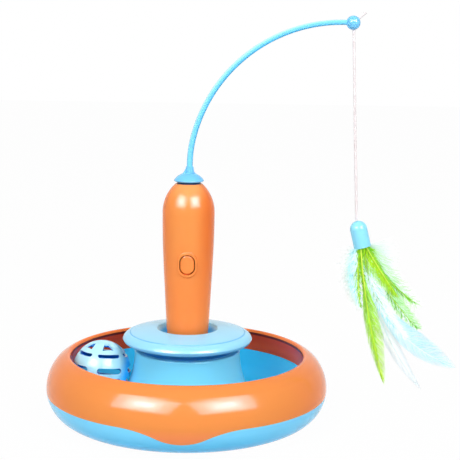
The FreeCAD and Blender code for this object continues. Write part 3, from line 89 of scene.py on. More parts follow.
def camera_like_rays(nodes, links):
    """1 for camera, glossy and transmission rays, which see plain white, else 0."""
    light_path = nodes.new("ShaderNodeLightPath")
    either = nodes.new("ShaderNodeMath")
    either.operation = "MAXIMUM"
    links.new(light_path.outputs["Is Camera Ray"], either.inputs[0])
    links.new(light_path.outputs["Is Glossy Ray"], either.inputs[1])
    any_of = nodes.new("ShaderNodeMath")
    any_of.operation = "MAXIMUM"
    links.new(either.outputs[0], any_of.inputs[0])
    links.new(light_path.outputs["Is Transmission Ray"], any_of.inputs[1])
    return any_of.outputs[0]


def make_world():
    world = bpy.data.worlds.new("studio")
    bpy.context.scene.world = world
    world.use_nodes = True
    nodes = world.node_tree.nodes
    links = world.node_tree.links
    nodes.clear()
    output = nodes.new("ShaderNodeOutputWorld")
    ambient = nodes.new("ShaderNodeBackground")
    ambient.inputs["Color"].default_value = WHITE_LIGHT
    ambient.inputs["Strength"].default_value = AMBIENT
    backdrop = nodes.new("ShaderNodeBackground")
    backdrop.inputs["Color"].default_value = WHITE_LIGHT
    backdrop.inputs["Strength"].default_value = BACKDROP
    mix = nodes.new("ShaderNodeMixShader")
    links.new(camera_like_rays(nodes, links), mix.inputs[0])
    links.new(ambient.outputs[0], mix.inputs[1])
    links.new(backdrop.outputs[0], mix.inputs[2])
    links.new(mix.outputs[0], output.inputs["Surface"])


def make_floor():
    mesh = bpy.data.meshes.new("floor")
    reach = FLOOR_REACH
    corners = [(-reach, -reach, 0), (reach, -reach, 0), (reach, reach, 0), (-reach, reach, 0)]
    mesh.from_pydata(corners, [], [(0, 1, 2, 3)])
    floor = bpy.data.objects.new("floor", mesh)
    bpy.context.scene.collection.objects.link(floor)
    material = bpy.data.materials.new("floor_white")
    material.use_nodes = True
    nodes = material.node_tree.nodes
    links = material.node_tree.links
    nodes.clear()
    output = nodes.new("ShaderNodeOutputMaterial")
    paper = nodes.new("ShaderNodeBsdfDiffuse")
    paper.inputs["Color"].default_value = FLOOR_PAPER
    glow = nodes.new("ShaderNodeEmission")
    glow.inputs["Strength"].default_value = BACKDROP
    share = nodes.new("ShaderNodeMath")
    share.operation = "MULTIPLY"
    share.inputs[1].default_value = FLOOR_GLOW
    links.new(camera_like_rays(nodes, links), share.inputs[0])
    mix = nodes.new("ShaderNodeMixShader")
    links.new(share.outputs[0], mix.inputs[0])
    links.new(paper.outputs[0], mix.inputs[1])
    links.new(glow.outputs[0], mix.inputs[2])
    links.new(mix.outputs[0], output.inputs["Surface"])
    mesh.materials.append(material)


def area_light(name, spot, target, width, height, power):
    data = bpy.data.lights.new(name, "AREA")
    data.shape = "RECTANGLE"
    data.size = width
    data.size_y = height
    data.energy = power
    light = bpy.data.objects.new(name, data)
    bpy.context.scene.collection.objects.link(light)
    light.location = spot
    light.rotation_euler = (Vector(spot) - Vector(target)).to_track_quat("Z", "Y").to_euler()
    return light


LIT_MIDDLE = (0.02, 0, 0.12)
SOFT_BOX_ASIDE = 0.75
SOFT_BOX_FRONT = -1.05
SOFT_BOX_HEIGHT = 0.95
SOFT_BOX = (0.7, 0.8, 12.0)
TOP_PANEL_SPOT = (0, 0.1, 1.5)
TOP_PANEL = (1.2, 1.2, 3.5)
# Around each soft box its reflection is widened by nested boxes: width, height and power.
GLOSS_BOXES = ((1.3, 0.95, 64.0), (0.8, 0.6, 10.0), (0.42, 0.34, 11.0))
GLOSS_TINT = (0.86, 0.74, 1.0)
GLOSS_GAP = 0.02


def gloss_boxes(name, spot, target):
    """Soft boxes that show only in reflections, the smaller ones in front, so that
    they are brightest in their shared middle."""
    boxes = []
    forward = (Vector(target) - Vector(spot)).normalized()
    for index, (width, height, power) in enumerate(GLOSS_BOXES):
        nearer = Vector(spot) + forward * GLOSS_GAP * (index + 1)
        light = area_light(name + str(index + 1), nearer, target, width, height, power)
        light.data.color = GLOSS_TINT
        light.visible_diffuse = False
        light.visible_transmission = False
        boxes.append(light)
    return boxes


def make_lights():
    """Two soft boxes and a panel above light the object. The reflections of the soft
    boxes are widened by the gloss boxes in the same places, which light nothing else."""
    only_gloss = []
    for name, side in (("left", -1), ("right", 1)):
        spot = (side * SOFT_BOX_ASIDE, SOFT_BOX_FRONT, SOFT_BOX_HEIGHT)
        area_light("soft_box_" + name, spot, LIT_MIDDLE, *SOFT_BOX)
        only_gloss.extend(gloss_boxes("gloss_box_" + name + "_", spot, LIT_MIDDLE))
    panel = area_light("top_panel", TOP_PANEL_SPOT, LIT_MIDDLE, *TOP_PANEL)
    panel.visible_glossy = False
    return only_gloss


def keep_off(lights, pieces):
    """Leave thin pieces unlit by the gloss boxes, which would only make them speckled."""
    thin = bpy.data.collections.new("thin_pieces")
    for piece in pieces:
        thin.objects.link(piece)
    for light in lights:
        light.light_linking.receiver_collection = thin
    for member in thin.collection_objects:
        member.light_linking.link_state = "EXCLUDE"


# Materials

GLOSS = 0.22
NOISE_LOW = 0.3
NOISE_HIGH = 0.7
FLOW_SCALE = 14.0
UNEVEN_SCALE = 70.0
SKIN_SCALE = 1400.0
SKIN_DEPTH = 0.0004
GLOW_REACH = (0.004, 0.003, 0.002)
TURNING_SCALE = 500.0


def srgb(red, green, blue):
    """A colour as seen on a screen, 0 to 255, as the linear colour a shader takes."""
    linear = []
    for value in (red, green, blue):
        value = value / 255
        linear.append(value / 12.92 if value <= 0.04045 else ((value + 0.055) / 1.055) ** 2.4)
    return (*linear, 1.0)


def new_material(name):
    material = bpy.data.materials.new(name)
    material.use_nodes = True
    nodes = material.node_tree.nodes
    return material, nodes, material.node_tree.links, nodes["Principled BSDF"]


def noise(nodes, links, coordinates, scale, detail=2.0):
    texture = nodes.new("ShaderNodeTexNoise")
    texture.inputs["Scale"].default_value = scale
    texture.inputs["Detail"].default_value = detail
    links.new(coordinates, texture.inputs["Vector"])
    return texture.outputs["Fac"]


def spread(nodes, links, value, low, high):
    """Map the middle of a noise, where most of its values are, to a range."""
    mapping = nodes.new("ShaderNodeMapRange")
    mapping.inputs["From Min"].default_value = NOISE_LOW
    mapping.inputs["From Max"].default_value = NOISE_HIGH
    mapping.inputs["To Min"].default_value = low
    mapping.inputs["To Max"].default_value = high
    links.new(value, mapping.inputs["Value"])
    return mapping.outputs["Result"]


def blend_colours(nodes, links, share, first, second):
    mix = nodes.new("ShaderNodeMix")
    mix.data_type = "RGBA"
    mix.inputs["A"].default_value = first
    mix.inputs["B"].default_value = second
    links.new(share, mix.inputs["Factor"])
    return mix.outputs["Result"]


# Patches and facings tint a moulding by place and by the way its faces look. Here they paint
# light and shade onto the mouldings.


def patch(middle, axes, near, far, colour):
    """Another colour near a middle, full within the near distance and gone past the far
    one. Each axis counts in the distance as much as its number in axes says."""
    return {"middle": middle, "axes": axes, "near": near, "far": far, "colour": colour}


def add_patch(nodes, links, coordinates, tint, spot):
    offset = nodes.new("ShaderNodeVectorMath")
    offset.operation = "SUBTRACT"
    offset.inputs[1].default_value = spot["middle"]
    links.new(coordinates, offset.inputs[0])
    kept = nodes.new("ShaderNodeVectorMath")
    kept.operation = "MULTIPLY"
    kept.inputs[1].default_value = spot["axes"]
    links.new(offset.outputs["Vector"], kept.inputs[0])
    distance = nodes.new("ShaderNodeVectorMath")
    distance.operation = "LENGTH"
    links.new(kept.outputs["Vector"], distance.inputs[0])
    share = nodes.new("ShaderNodeMapRange")
    share.interpolation_type = "SMOOTHSTEP"
    share.inputs["From Min"].default_value = spot["near"]
    share.inputs["From Max"].default_value = spot["far"]
    share.inputs["To Min"].default_value = 1.0
    share.inputs["To Max"].default_value = 0.0
    links.new(distance.outputs["Value"], share.inputs["Value"])
    return tinted(nodes, links, share.outputs["Result"], tint, spot["colour"])


def tinted(nodes, links, share, tint, colour):
    mix = nodes.new("ShaderNodeMix")
    mix.data_type = "RGBA"
    mix.inputs["B"].default_value = colour
    links.new(tint, mix.inputs["A"])
    links.new(share, mix.inputs["Factor"])
    return mix.outputs["Result"]


def add_facing(nodes, links, tint, direction, colour, start, full):
    """Another colour on the faces turned towards a direction. It begins and is full
    where the faces' normals have these products with the direction."""
    coordinates = nodes.new("ShaderNodeTexCoord")
    facing = nodes.new("ShaderNodeVectorMath")
    facing.operation = "DOT_PRODUCT"
    facing.inputs[1].default_value = direction
    links.new(coordinates.outputs["Normal"], facing.inputs[0])
    share = nodes.new("ShaderNodeMapRange")
    share.interpolation_type = "SMOOTHSTEP"
    share.inputs["From Min"].default_value = start
    share.inputs["From Max"].default_value = full
    links.new(facing.outputs["Value"], share.inputs["Value"])
    return tinted(nodes, links, share.outputs["Result"], tint, colour)


def moulded(name, colour, deeper, roughness=0.16, glow=0.06, grain=0.02, patches=(),
            facings=()):
    """Moulded plastic: faint flow marks of a deeper colour, uneven gloss and a fine skin.
    Facings are laid on first and patches over them."""
    material, nodes, links, surface = new_material(name)
    coordinates = nodes.new("ShaderNodeTexCoord").outputs["Object"]
    flow = noise(nodes, links, coordinates, FLOW_SCALE, 3.0)
    tint = blend_colours(nodes, links, spread(nodes, links, flow, 0.0, 1.0), colour, deeper)
    for facing in facings:
        tint = add_facing(nodes, links, tint, *facing)
    for spot in patches:
        tint = add_patch(nodes, links, coordinates, tint, spot)
    links.new(tint, surface.inputs["Base Color"])
    gloss = noise(nodes, links, coordinates, UNEVEN_SCALE, 3.0)
    uneven = spread(nodes, links, gloss, roughness * 0.8, roughness * 1.25)
    links.new(uneven, surface.inputs["Roughness"])
    surface.inputs["Subsurface Weight"].default_value = glow
    surface.inputs["Subsurface Radius"].default_value = GLOW_REACH
    surface.inputs["Subsurface Scale"].default_value = 1.0
    surface.inputs["Specular IOR Level"].default_value = GLOSS
    skin = nodes.new("ShaderNodeBump")
    skin.inputs["Strength"].default_value = grain
    skin.inputs["Distance"].default_value = SKIN_DEPTH
    links.new(noise(nodes, links, coordinates, SKIN_SCALE), skin.inputs["Height"])
    links.new(skin.outputs["Normal"], surface.inputs["Normal"])
    return material


def metal(name, colour, roughness=0.25):
    """Plated metal with fine turning marks."""
    material, nodes, links, surface = new_material(name)
    coordinates = nodes.new("ShaderNodeTexCoord").outputs["Object"]
    surface.inputs["Metallic"].default_value = 1.0
    fine = noise(nodes, links, coordinates, TURNING_SCALE, 3.0)
    darker = tuple(value * 0.8 for value in colour[:3]) + (1.0,)
    tint = blend_colours(nodes, links, spread(nodes, links, fine, 0.0, 1.0), colour, darker)
    links.new(tint, surface.inputs["Base Color"])
    uneven = spread(nodes, links, fine, roughness * 0.7, roughness * 1.4)
    links.new(uneven, surface.inputs["Roughness"])
    return material


def paint(material, *names):
    """Give a material to carried-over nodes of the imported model."""
    for name in names:
        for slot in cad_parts[name].material_slots:
            slot.material = material


# Hard parts: each material is made and given to its nodes in the function of its sub-part

AROUND_AXIS = (1, 1, 0)
ALL_ROUND = (1, 1, 1)
ALONG_AXIS = (0, 0, 1)
FLATTENED = (1, 1, 2)
ORIGIN = (0, 0, 0)
TRACK_MIDDLE = (0, 0, 25.0 * MM)
BALL_CENTRE = (-62.51 * MM, -3.28 * MM, 35.2 * MM)
BUTTON_CENTRE = (0, -16.6 * MM, 116.0 * MM)
HANDLE_FOOT = (0, 0, 66.0 * MM)
CAP_GAP = (0, 0, 170.0 * MM)
DOWN = (0, 0, -1)
RIGHT = (1, 0, 0)
FRONT = (0, -0.94, 0.34)


def paint_ring():
    """Orange outside. The inside of the ring is painted shade in deeper reds, with a dark
    painted shadow line under its top rim.
    """
    # Painted shade inside the ring: deeper reds from the rim's inner round down to the foot,
    # darkest in a line just under the rim.
    lip_shade = patch(TRACK_MIDDLE, FLATTENED, 97.6 * MM, 98.6 * MM, srgb(250, 124, 50))
    edge = patch(TRACK_MIDDLE, FLATTENED, 94.8 * MM, 95.3 * MM, srgb(120, 34, 20))
    wall_shade = patch(TRACK_MIDDLE, FLATTENED, 93.2 * MM, 94.0 * MM, srgb(240, 68, 30))
    foot = patch(TRACK_MIDDLE, FLATTENED, 88.6 * MM, 92.5 * MM, srgb(255, 84, 34))
    # Painted light on faces turned to the front, and a painted reflection of the floor on faces
    # turned down.
    front = (FRONT, srgb(228, 138, 66), 0.3, 0.9)
    under = (DOWN, srgb(236, 136, 78), 0.0, 0.35)
    orange = moulded("orange_moulding", srgb(238, 130, 54), srgb(235, 124, 48), 0.13,
                     patches=[lip_shade, edge, wall_shade, foot], facings=[front, under])
    paint(orange, "rim_ring")


def paint_handle():
    """Orange shells, button and end cap, paler at the top and redder on the right: painted light
    above and in front, painted shade on the right and below.
    """
    # A paler lower part is painted light, and the deep red round the button is painted shade in
    # its narrow gap.
    foot = patch(HANDLE_FOOT, ALONG_AXIS, 0.0, 80.0 * MM, srgb(250, 138, 66))
    button_gap_shade = patch(BUTTON_CENTRE, (1, 5, 0.75), 6.2 * MM, 6.8 * MM, srgb(255, 60, 8))
    # Facings paint light on faces turned to the front and up, and shade on faces turned right
    # and down.
    front = (FRONT, srgb(234, 143, 70), 0.3, 0.95)
    right = (RIGHT, srgb(236, 116, 40), 0.2, 0.9)
    above = ((0, -0.5, 0.85), srgb(246, 160, 92), 0.6, 1.0)
    below = ((0, -0.5, -0.85), srgb(216, 100, 38), 0.6, 1.0)
    grip = moulded("grip_moulding", srgb(240, 130, 56), srgb(237, 124, 50), 0.18,
                   patches=[foot, button_gap_shade], facings=[front, right, above, below])
    paint(grip, "handle_front_shell", "handle_rear_shell", "push_button", "end_cap")


def paint_base_shell():
    # Faces turned down get a deeper blue: painted shade.
    under = (DOWN, srgb(70, 194, 243), 0.2, 0.9)
    sky = moulded("sky_moulding", srgb(122, 212, 251), srgb(115, 207, 248), facings=[under])
    paint(sky, "base_bottom_shell")


def paint_track():
    """Strong blue track, paler on the hub in its middle: the track's strong blue is painted
    shade on its floor.
    """
    hub_side = patch(ORIGIN, AROUND_AXIS, 45.0 * MM, 55.0 * MM, srgb(132, 227, 255))
    # The strong blue stands in for the shade on the track floor; the hub keeps a paler blue.
    track = moulded("track_moulding", srgb(34, 203, 255), srgb(28, 197, 251), 0.14,
                    patches=[hub_side])
    paint(track, "track_tray")


def paint_collar():
    """Pale blue, with a darker painted shadow line round the plate and a strong blue painted
    shade down the hole round the handle.
    """
    # Painted shade: a darker line round the plate, and strong blue down the hole round the
    # handle.
    crease_shade = patch(ORIGIN, AROUND_AXIS, 42.1 * MM, 42.5 * MM, srgb(104, 190, 240))
    plate = patch(ORIGIN, AROUND_AXIS, 41.1 * MM, 41.5 * MM, srgb(154, 220, 250))
    funnel_shade = patch(ORIGIN, AROUND_AXIS, 18.6 * MM, 21.6 * MM, srgb(0, 170, 255))
    pale = moulded("pale_moulding", srgb(154, 220, 250), srgb(147, 216, 248), 0.14,
                   patches=[crease_shade, plate, funnel_shade])
    paint(pale, "turret_collar")


def paint_neck():
    # The neck's dark blue is painted shade in the space under the collar.
    neck = moulded("neck_moulding", srgb(40, 146, 220), srgb(34, 138, 214), 0.3)
    paint(neck, "handle_socket")


def paint_ball():
    """Pale shells with a strong blue painted shade inside the hollow and a deeper blue painted
    shade towards the lower right.
    """
    # Painted shade: strong blue inside the hollow ball and on the slots' walls, deeper blue on
    # faces towards the lower right.
    inside = patch(BALL_CENTRE, ALL_ROUND, 19.6 * MM, 20.2 * MM, srgb(24, 130, 226))
    shaded = ((0.94, 0.17, -0.3), srgb(50, 184, 248), 0.42, 0.8)
    ball = moulded("ball_moulding", srgb(184, 235, 249), srgb(176, 231, 247), 0.16,
                   patches=[inside], facings=[shaded])
    paint(ball, "ball_shell_upper", "ball_shell_lower")


def paint_spinner():
    """The rotor cap, with a dark painted shadow on its skirt under the rim, and the bead of the
    same blue.
    """
    # Painted shadow: dark navy in the narrow space between the cap and the handle's mouth.
    cap_gap_shadow = patch(CAP_GAP, ALONG_AXIS, 3.6 * MM, 3.9 * MM, srgb(6, 62, 112))
    spinner = moulded("spinner_moulding", srgb(118, 200, 248), srgb(111, 195, 245), 0.14,
                      patches=[cap_gap_shadow])
    paint(spinner, "rotor_cap", "arm_tip_bead")


def paint_rod():
    """A painted highlight along the rod's upper left side and a darker painted shade on its
    lower right.
    """
    # Painted light: a pale highlight on the upper left faces and shade on the lower right ones.
    highlight_streak = ((-0.55, -0.5, 0.67), srgb(176, 236, 252), 0.72, 0.98)
    shaded = ((0.6, -0.1, -0.8), srgb(64, 184, 238), 0.3, 0.85)
    rod = moulded("rod_moulding", srgb(126, 214, 250), srgb(118, 208, 247), 0.2, glow=0.0,
                  grain=0.01, facings=[highlight_streak, shaded])
    paint(rod, "arm_rod")


def paint_feather_cap():
    cap = moulded("feather_cap_moulding", srgb(148, 226, 251), srgb(140, 221, 249), 0.12)
    paint(cap, "feather_cap")


def paint_pads():
    rubber = moulded("pad_rubber", srgb(196, 196, 198), srgb(186, 186, 188), 0.7, 0.0)
    paint(rubber, "anti_slip_feet", "centre_pad")


def paint_gear_train():
    natural = moulded("natural_moulding", srgb(238, 236, 226), srgb(230, 227, 214), 0.4)
    paint(natural, "gearbox_base", "gearbox_cover", "output_bush", "quill_plug",
          "compound_gear_1", "compound_gear_2", "compound_gear_3", "output_gear")


def paint_electrics():
    black = moulded("black_moulding", srgb(34, 34, 37), srgb(28, 28, 30), 0.45, 0.0)
    board = moulded("solder_resist", srgb(30, 110, 56), srgb(24, 96, 48), 0.35, 0.0)
    jacket = moulded("cell_jacket", srgb(52, 60, 74), srgb(44, 52, 66), 0.3, 0.0)
    leads = moulded("lead_insulation", srgb(190, 46, 38), srgb(176, 40, 34), 0.4, 0.0)
    paint(black, "tact_switch", "battery_holder", "battery_holder_lid", "motor_end_bell")
    paint(board, "circuit_board")
    paint(jacket, "aaa_cell_1", "aaa_cell_2", "aaa_cell_3")
    paint(leads, "battery_leads", "motor_leads")


def paint_metal_parts():
    steel = metal("plated_steel", srgb(206, 206, 210))
    brass = metal("bell_brass", srgb(226, 192, 110), 0.2)
    paint(steel, "base_screws", "collar_screws", "handle_screws", "bell_pellet", "motor_can",
          "motor_shaft", "offset_axle", "output_shaft", "contact_tab_lower",
          "contact_bridge_lower", "contact_bridge_upper", "contact_tab_upper")
    paint(brass, "bell", "motor_pinion")


def paint_hard_parts():
    paint_ring()
    paint_handle()
    paint_base_shell()
    paint_track()
    paint_collar()
    paint_neck()
    paint_ball()
    paint_spinner()
    paint_rod()
    paint_feather_cap()
    paint_pads()
    paint_gear_train()
    paint_electrics()
    paint_metal_parts()


# Cord: a straight milky cord from the bead into the feather cap

CORD_RADIUS = 1.0 * MM
CORD_TOP = millimetres(115.0, 0.0, 282.6)
CORD_NEAR_TOP = millimetres(115.5, 0.0, 270.7)
CORD_BOTTOM = millimetres(121.1, 0.0, 147.3)
CORD_STREAK_SCALE = 160.0
CORD_GLOW_REACH = 1.0 * MM


def cord_material():
    material, nodes, links, surface = new_material("milky_cord")
    coordinates = nodes.new("ShaderNodeTexCoord").outputs["Object"]
    streaks = spread(nodes, links, noise(nodes, links, coordinates, CORD_STREAK_SCALE), 0.0, 1.0)
    tint = blend_colours(nodes, links, streaks, srgb(236, 229, 230), srgb(222, 214, 215))
    links.new(tint, surface.inputs["Base Color"])
    surface.inputs["Roughness"].default_value = 0.35
    surface.inputs["Subsurface Weight"].default_value = 0.4
    surface.inputs["Subsurface Radius"].default_value = (CORD_GLOW_REACH,) * 3
    surface.inputs["Subsurface Scale"].default_value = 1.0
    return material


def make_cord():
    data = bpy.data.curves.new("teaser_cord_line", "CURVE")
    data.dimensions = "3D"
    data.bevel_depth = CORD_RADIUS
    data.bevel_resolution = 6
    data.use_fill_caps = True
    spline = data.splines.new("NURBS")
    points = (CORD_TOP, CORD_NEAR_TOP, CORD_BOTTOM)
    spline.points.add(len(points) - 1)
    for point, place in zip(spline.points, points):
        point.co = (*place, 1.0)
    spline.order_u = 3
    spline.use_endpoint_u = True
    cord = bpy.data.objects.new("teaser_cord_line", data)
    bpy.context.scene.collection.objects.link(cord)
    material = cord_material()
    data.materials.append(material)
    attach(cord, "line")
    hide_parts("teaser_cord")
    paint(material, "cord_end")
    return cord


# Feathers: each has a quill, a vane of separate barbs, and loose down

FERRULE_CENTRE = millimetres(122.9, 0.0, 140.85)
FERRULE_LEAN = Matrix.Rotation(math.radians(-14.0), 3, "Y")
ROOT_REACH = 12.75 * MM
LAYER_STEP = 0.92 * MM
LAYER_LEAN = math.radians(2.2)
TOWARDS_BACK = Vector((0, 1, 0))

LIME = srgb(182, 230, 26)
SPRING = srgb(172, 228, 80)
LEAF = srgb(70, 182, 8)
YELLOW = srgb(232, 250, 80)
MINT = srgb(190, 240, 170)
FOAM = srgb(214, 238, 226)
WHITE = srgb(250, 254, 254)
ICE = srgb(230, 247, 250)
AQUA = srgb(190, 238, 249)
TEAL = srgb(96, 200, 216)
FROST = srgb(206, 222, 230)

# Barbs and down: root, middle, tip and edge colour, darkest and lightest shade, and glow, an
# emission that paints the light scattered among the barbs.
BARB_LOOKS = {
    "barbs_front": (LEAF, SPRING, LIME, SPRING, 0.56, 1.2, 0.16),
    "barbs_leaf": (LEAF, LEAF, LEAF, SPRING, 0.5, 1.3, 0.34),
    "barbs_lime": (LIME, LIME, LIME, SPRING, 0.5, 1.22, 0.2),
    "barbs_tip": (MINT, SPRING, LEAF, SPRING, 0.8, 1.16, 0.12),
    "barbs_white": (WHITE, WHITE, WHITE, FROST, 0.9, 1.02, 0.12),
    "barbs_blue": (WHITE, ICE, AQUA, AQUA, 0.84, 1.04, 0.12),
    "down_green": (LEAF, LIME, LIME, LIME, 0.5, 1.2, 0.2),
    "down_leaf": (LEAF, LEAF, LEAF, LIME, 0.5, 1.25, 0.15),
    "down_mint": (SPRING, MINT, MINT, MINT, 0.75, 1.1, 0.3),
    "down_ice": (ICE, ICE, WHITE, WHITE, 0.84, 1.04, 0.24),
    "down_back": (ICE, ICE, WHITE, ICE, 0.84, 1.04, 0.5),
    "down_teal": (TEAL, TEAL, TEAL, AQUA, 0.7, 1.1, 0.4),
    "halo": (FOAM, FOAM, FOAM, WHITE, 0.9, 1.05, 0.16),
}

# Steps along a barb and a quill. A quill's radii, in millimetres, shrink from its root.
BARB_STEPS = 6
SPINE_STEPS = 16
SPINE_SHARE = 0.96
QUILL_TIP = 0.08
QUILL_GROWTH = 0.52
QUILL_TAPER = 0.6
THINNING = 0.75

# Ranges that each barb's or clump's own numbers are drawn from.
CLUMP_SIZES = (4, 16)
CLUMP_SHADES = (0.3, 0.7)
REACH_SPREAD = (0.95, 1.03)
SWEEP_SPREAD = (0.9, 1.1)
CUP_SPREAD = (0.6, 1.4)
BARB_TILTS = (-0.12, 0.12)
SHADE_SPREAD = (-0.22, 0.22)
DOWN_LENGTHS = (0.3, 1.0)
DOWN_CURLS = (0.05, 0.5)
DOWN_WAVES = (0.1, 0.45)
DOWN_PHASES = (0, 6.28)
DOWN_TILTS = (-0.5, 0.5)

# A barb leaves the quill at its foot, bends at its elbow and ends on the outline.
ELBOW_ALONG = 0.4
ELBOW_OUT = 0.6
LEAST_SLANT = 0.3
SWEEP_LOSS = 0.5
DOWN_TAPER = 0.65


class Ribbons:
    """Collects thin ribbons into one mesh, with three numbers at each corner: how far
    along the feather, how far along the barb, and the barb's own shade."""

    def __init__(self):
        self.corners = []
        self.faces = []
        self.numbers = []
        self.slots = []

    def add(self, centres, widths, across, along, shade, slot=0):
        first = len(self.corners)
        last = len(centres) - 1
        for index, (centre, width, side) in enumerate(zip(centres, widths, across)):
            self.corners.append(centre - side * width / 2)
            self.corners.append(centre + side * width / 2)
            self.numbers.extend([(along, index / last, shade)] * 2)
        for index in range(last):
            low = first + 2 * index
            self.faces.append((low, low + 1, low + 3, low + 2))
            self.slots.append(slot)

    def add_tube(self, centres, radii, along, slot, sides=6):
        first = len(self.corners)
        for index, (centre, radius) in enumerate(zip(centres, radii)):
            following = centres[min(index + 1, len(centres) - 1)]
            before = centres[max(index - 1, 0)]
            forward = (following - before).normalized()
            right = forward.cross(Vector((0, 1, 0))).normalized()
            up = right.cross(forward)
            for turn in range(sides):
                angle = 2 * math.pi * turn / sides
                offset = right * math.cos(angle) + up * math.sin(angle)
                self.corners.append(centre + offset * radius)
                self.numbers.append((along[index], 0.0, 0.5))
        for index in range(len(centres) - 1):
            for turn in range(sides):
                low = first + index * sides
                high = low + sides
                after = (turn + 1) % sides
                self.faces.append((low + turn, low + after, high + after, high + turn))
                self.slots.append(slot)

    def build(self, name, materials):
        mesh = bpy.data.meshes.new(name)
        mesh.from_pydata(self.corners, [], self.faces)
        layer = mesh.color_attributes.new("barb", "FLOAT_COLOR", "POINT")
        for index, (along, out, shade) in enumerate(self.numbers):
            layer.data[index].color = (along, out, shade, 1.0)
        for material in materials:
            mesh.materials.append(material)
        mesh.polygons.foreach_set("material_index", self.slots)
        mesh.shade_smooth()
        piece = bpy.data.objects.new(name, mesh)
        bpy.context.scene.collection.objects.link(piece)
        return piece


def barb_material(name, root, middle, tip, edge, darkest, lightest, glow):
    """Feather barbs: the colour runs from root to tip, fades to the barbs' ends and differs from
    barb to barb. Light passes through, and an emission paints the light scattered among the
    barbs."""
    material, nodes, links, surface = new_material(name)
    attribute = nodes.new("ShaderNodeAttribute")
    attribute.attribute_name = "barb"
    parts = nodes.new("ShaderNodeSeparateColor")
    links.new(attribute.outputs["Color"], parts.inputs["Color"])
    ramp = nodes.new("ShaderNodeValToRGB")
    ramp.color_ramp.elements[0].color = root
    ramp.color_ramp.elements[0].position = 0.05
    ramp.color_ramp.elements[1].color = tip
    ramp.color_ramp.elements[1].position = 0.95
    ramp.color_ramp.elements.new(0.45).color = middle
    links.new(parts.outputs["Red"], ramp.inputs["Fac"])
    fade = nodes.new("ShaderNodeMath")
    fade.operation = "POWER"
    fade.inputs[1].default_value = 2.0
    links.new(parts.outputs["Green"], fade.inputs[0])
    faded = nodes.new("ShaderNodeMix")
    faded.data_type = "RGBA"
    faded.inputs["B"].default_value = edge
    links.new(fade.outputs[0], faded.inputs["Factor"])
    links.new(ramp.outputs["Color"], faded.inputs["A"])
    varied = nodes.new("ShaderNodeHueSaturation")
    brightness = nodes.new("ShaderNodeMapRange")
    brightness.inputs["To Min"].default_value = darkest
    brightness.inputs["To Max"].default_value = lightest
    links.new(parts.outputs["Blue"], brightness.inputs["Value"])
    links.new(brightness.outputs["Result"], varied.inputs["Value"])
    links.new(faded.outputs["Result"], varied.inputs["Color"])
    links.new(varied.outputs["Color"], surface.inputs["Base Color"])
    links.new(varied.outputs["Color"], surface.inputs["Emission Color"])
    # Painted light: the barbs glow in their own colour, standing in for light scattered among
    # them.
    surface.inputs["Emission Strength"].default_value = glow
    surface.inputs["Roughness"].default_value = 0.75
    surface.inputs["Specular IOR Level"].default_value = 0.12
    through = nodes.new("ShaderNodeBsdfTranslucent")
    links.new(varied.outputs["Color"], through.inputs["Color"])
    mix = nodes.new("ShaderNodeMixShader")
    mix.inputs[0].default_value = 0.2
    links.new(surface.outputs[0], mix.inputs[1])
    links.new(through.outputs[0], mix.inputs[2])
    links.new(mix.outputs[0], nodes["Material Output"].inputs["Surface"])
    return material


class Feather:
    """A feather's frame and spine, laid where its solid is."""

    def __init__(self, root_across, tip, sag, layer):
        mouth = FERRULE_CENTRE + FERRULE_LEAN @ Vector((0, 0, -ROOT_REACH))
        self.root = mouth + FERRULE_LEAN @ Vector((root_across * MM, 0, 0))
        self.root.y += layer * LAYER_STEP
        run = Vector((tip[0] * MM, self.root.y, tip[1] * MM)) - self.root
        tilt = layer * LAYER_LEAN
        self.length = run.length / math.cos(tilt)
        heading = math.atan2(run.x, -run.z)
        self.turn = Matrix.Rotation(-heading, 3, "Y") @ Matrix.Rotation(tilt, 3, "X")
        self.sag = sag * MM

    def spine(self, share):
        return Vector((4 * self.sag * share * (1 - share), 0, -self.length * share))

    def forward(self, share):
        slope = Vector((4 * self.sag * (1 - 2 * share), 0, -self.length))
        return slope.normalized()

    def sideways(self, share):
        """Square to the spine, towards the right of a feather that hangs straight."""
        return TOWARDS_BACK.cross(self.forward(share)) * -1.0

    def placed(self, spot):
        return self.root + self.turn @ spot


def bent_line(first, middle, last, steps):
    """A smooth bend from the first point to the last, drawn towards the middle one."""
    spots = []
    for step in range(steps + 1):
        share = step / steps
        left = (1 - share) ** 2
        right = share ** 2
        spots.append(first * left + middle * (2 * share * (1 - share)) + last * right)
    return spots


def flat_across(spots, tilt):
    """Directions across a line's ribbon, square to it and a little tilted."""
    directions = []
    last = len(spots) - 1
    for index in range(last + 1):
        run = spots[min(index + 1, last)] - spots[max(index - 1, 0)]
        side_way = run.cross(TOWARDS_BACK).normalized()
        directions.append((side_way + TOWARDS_BACK * tilt).normalized())
    return directions


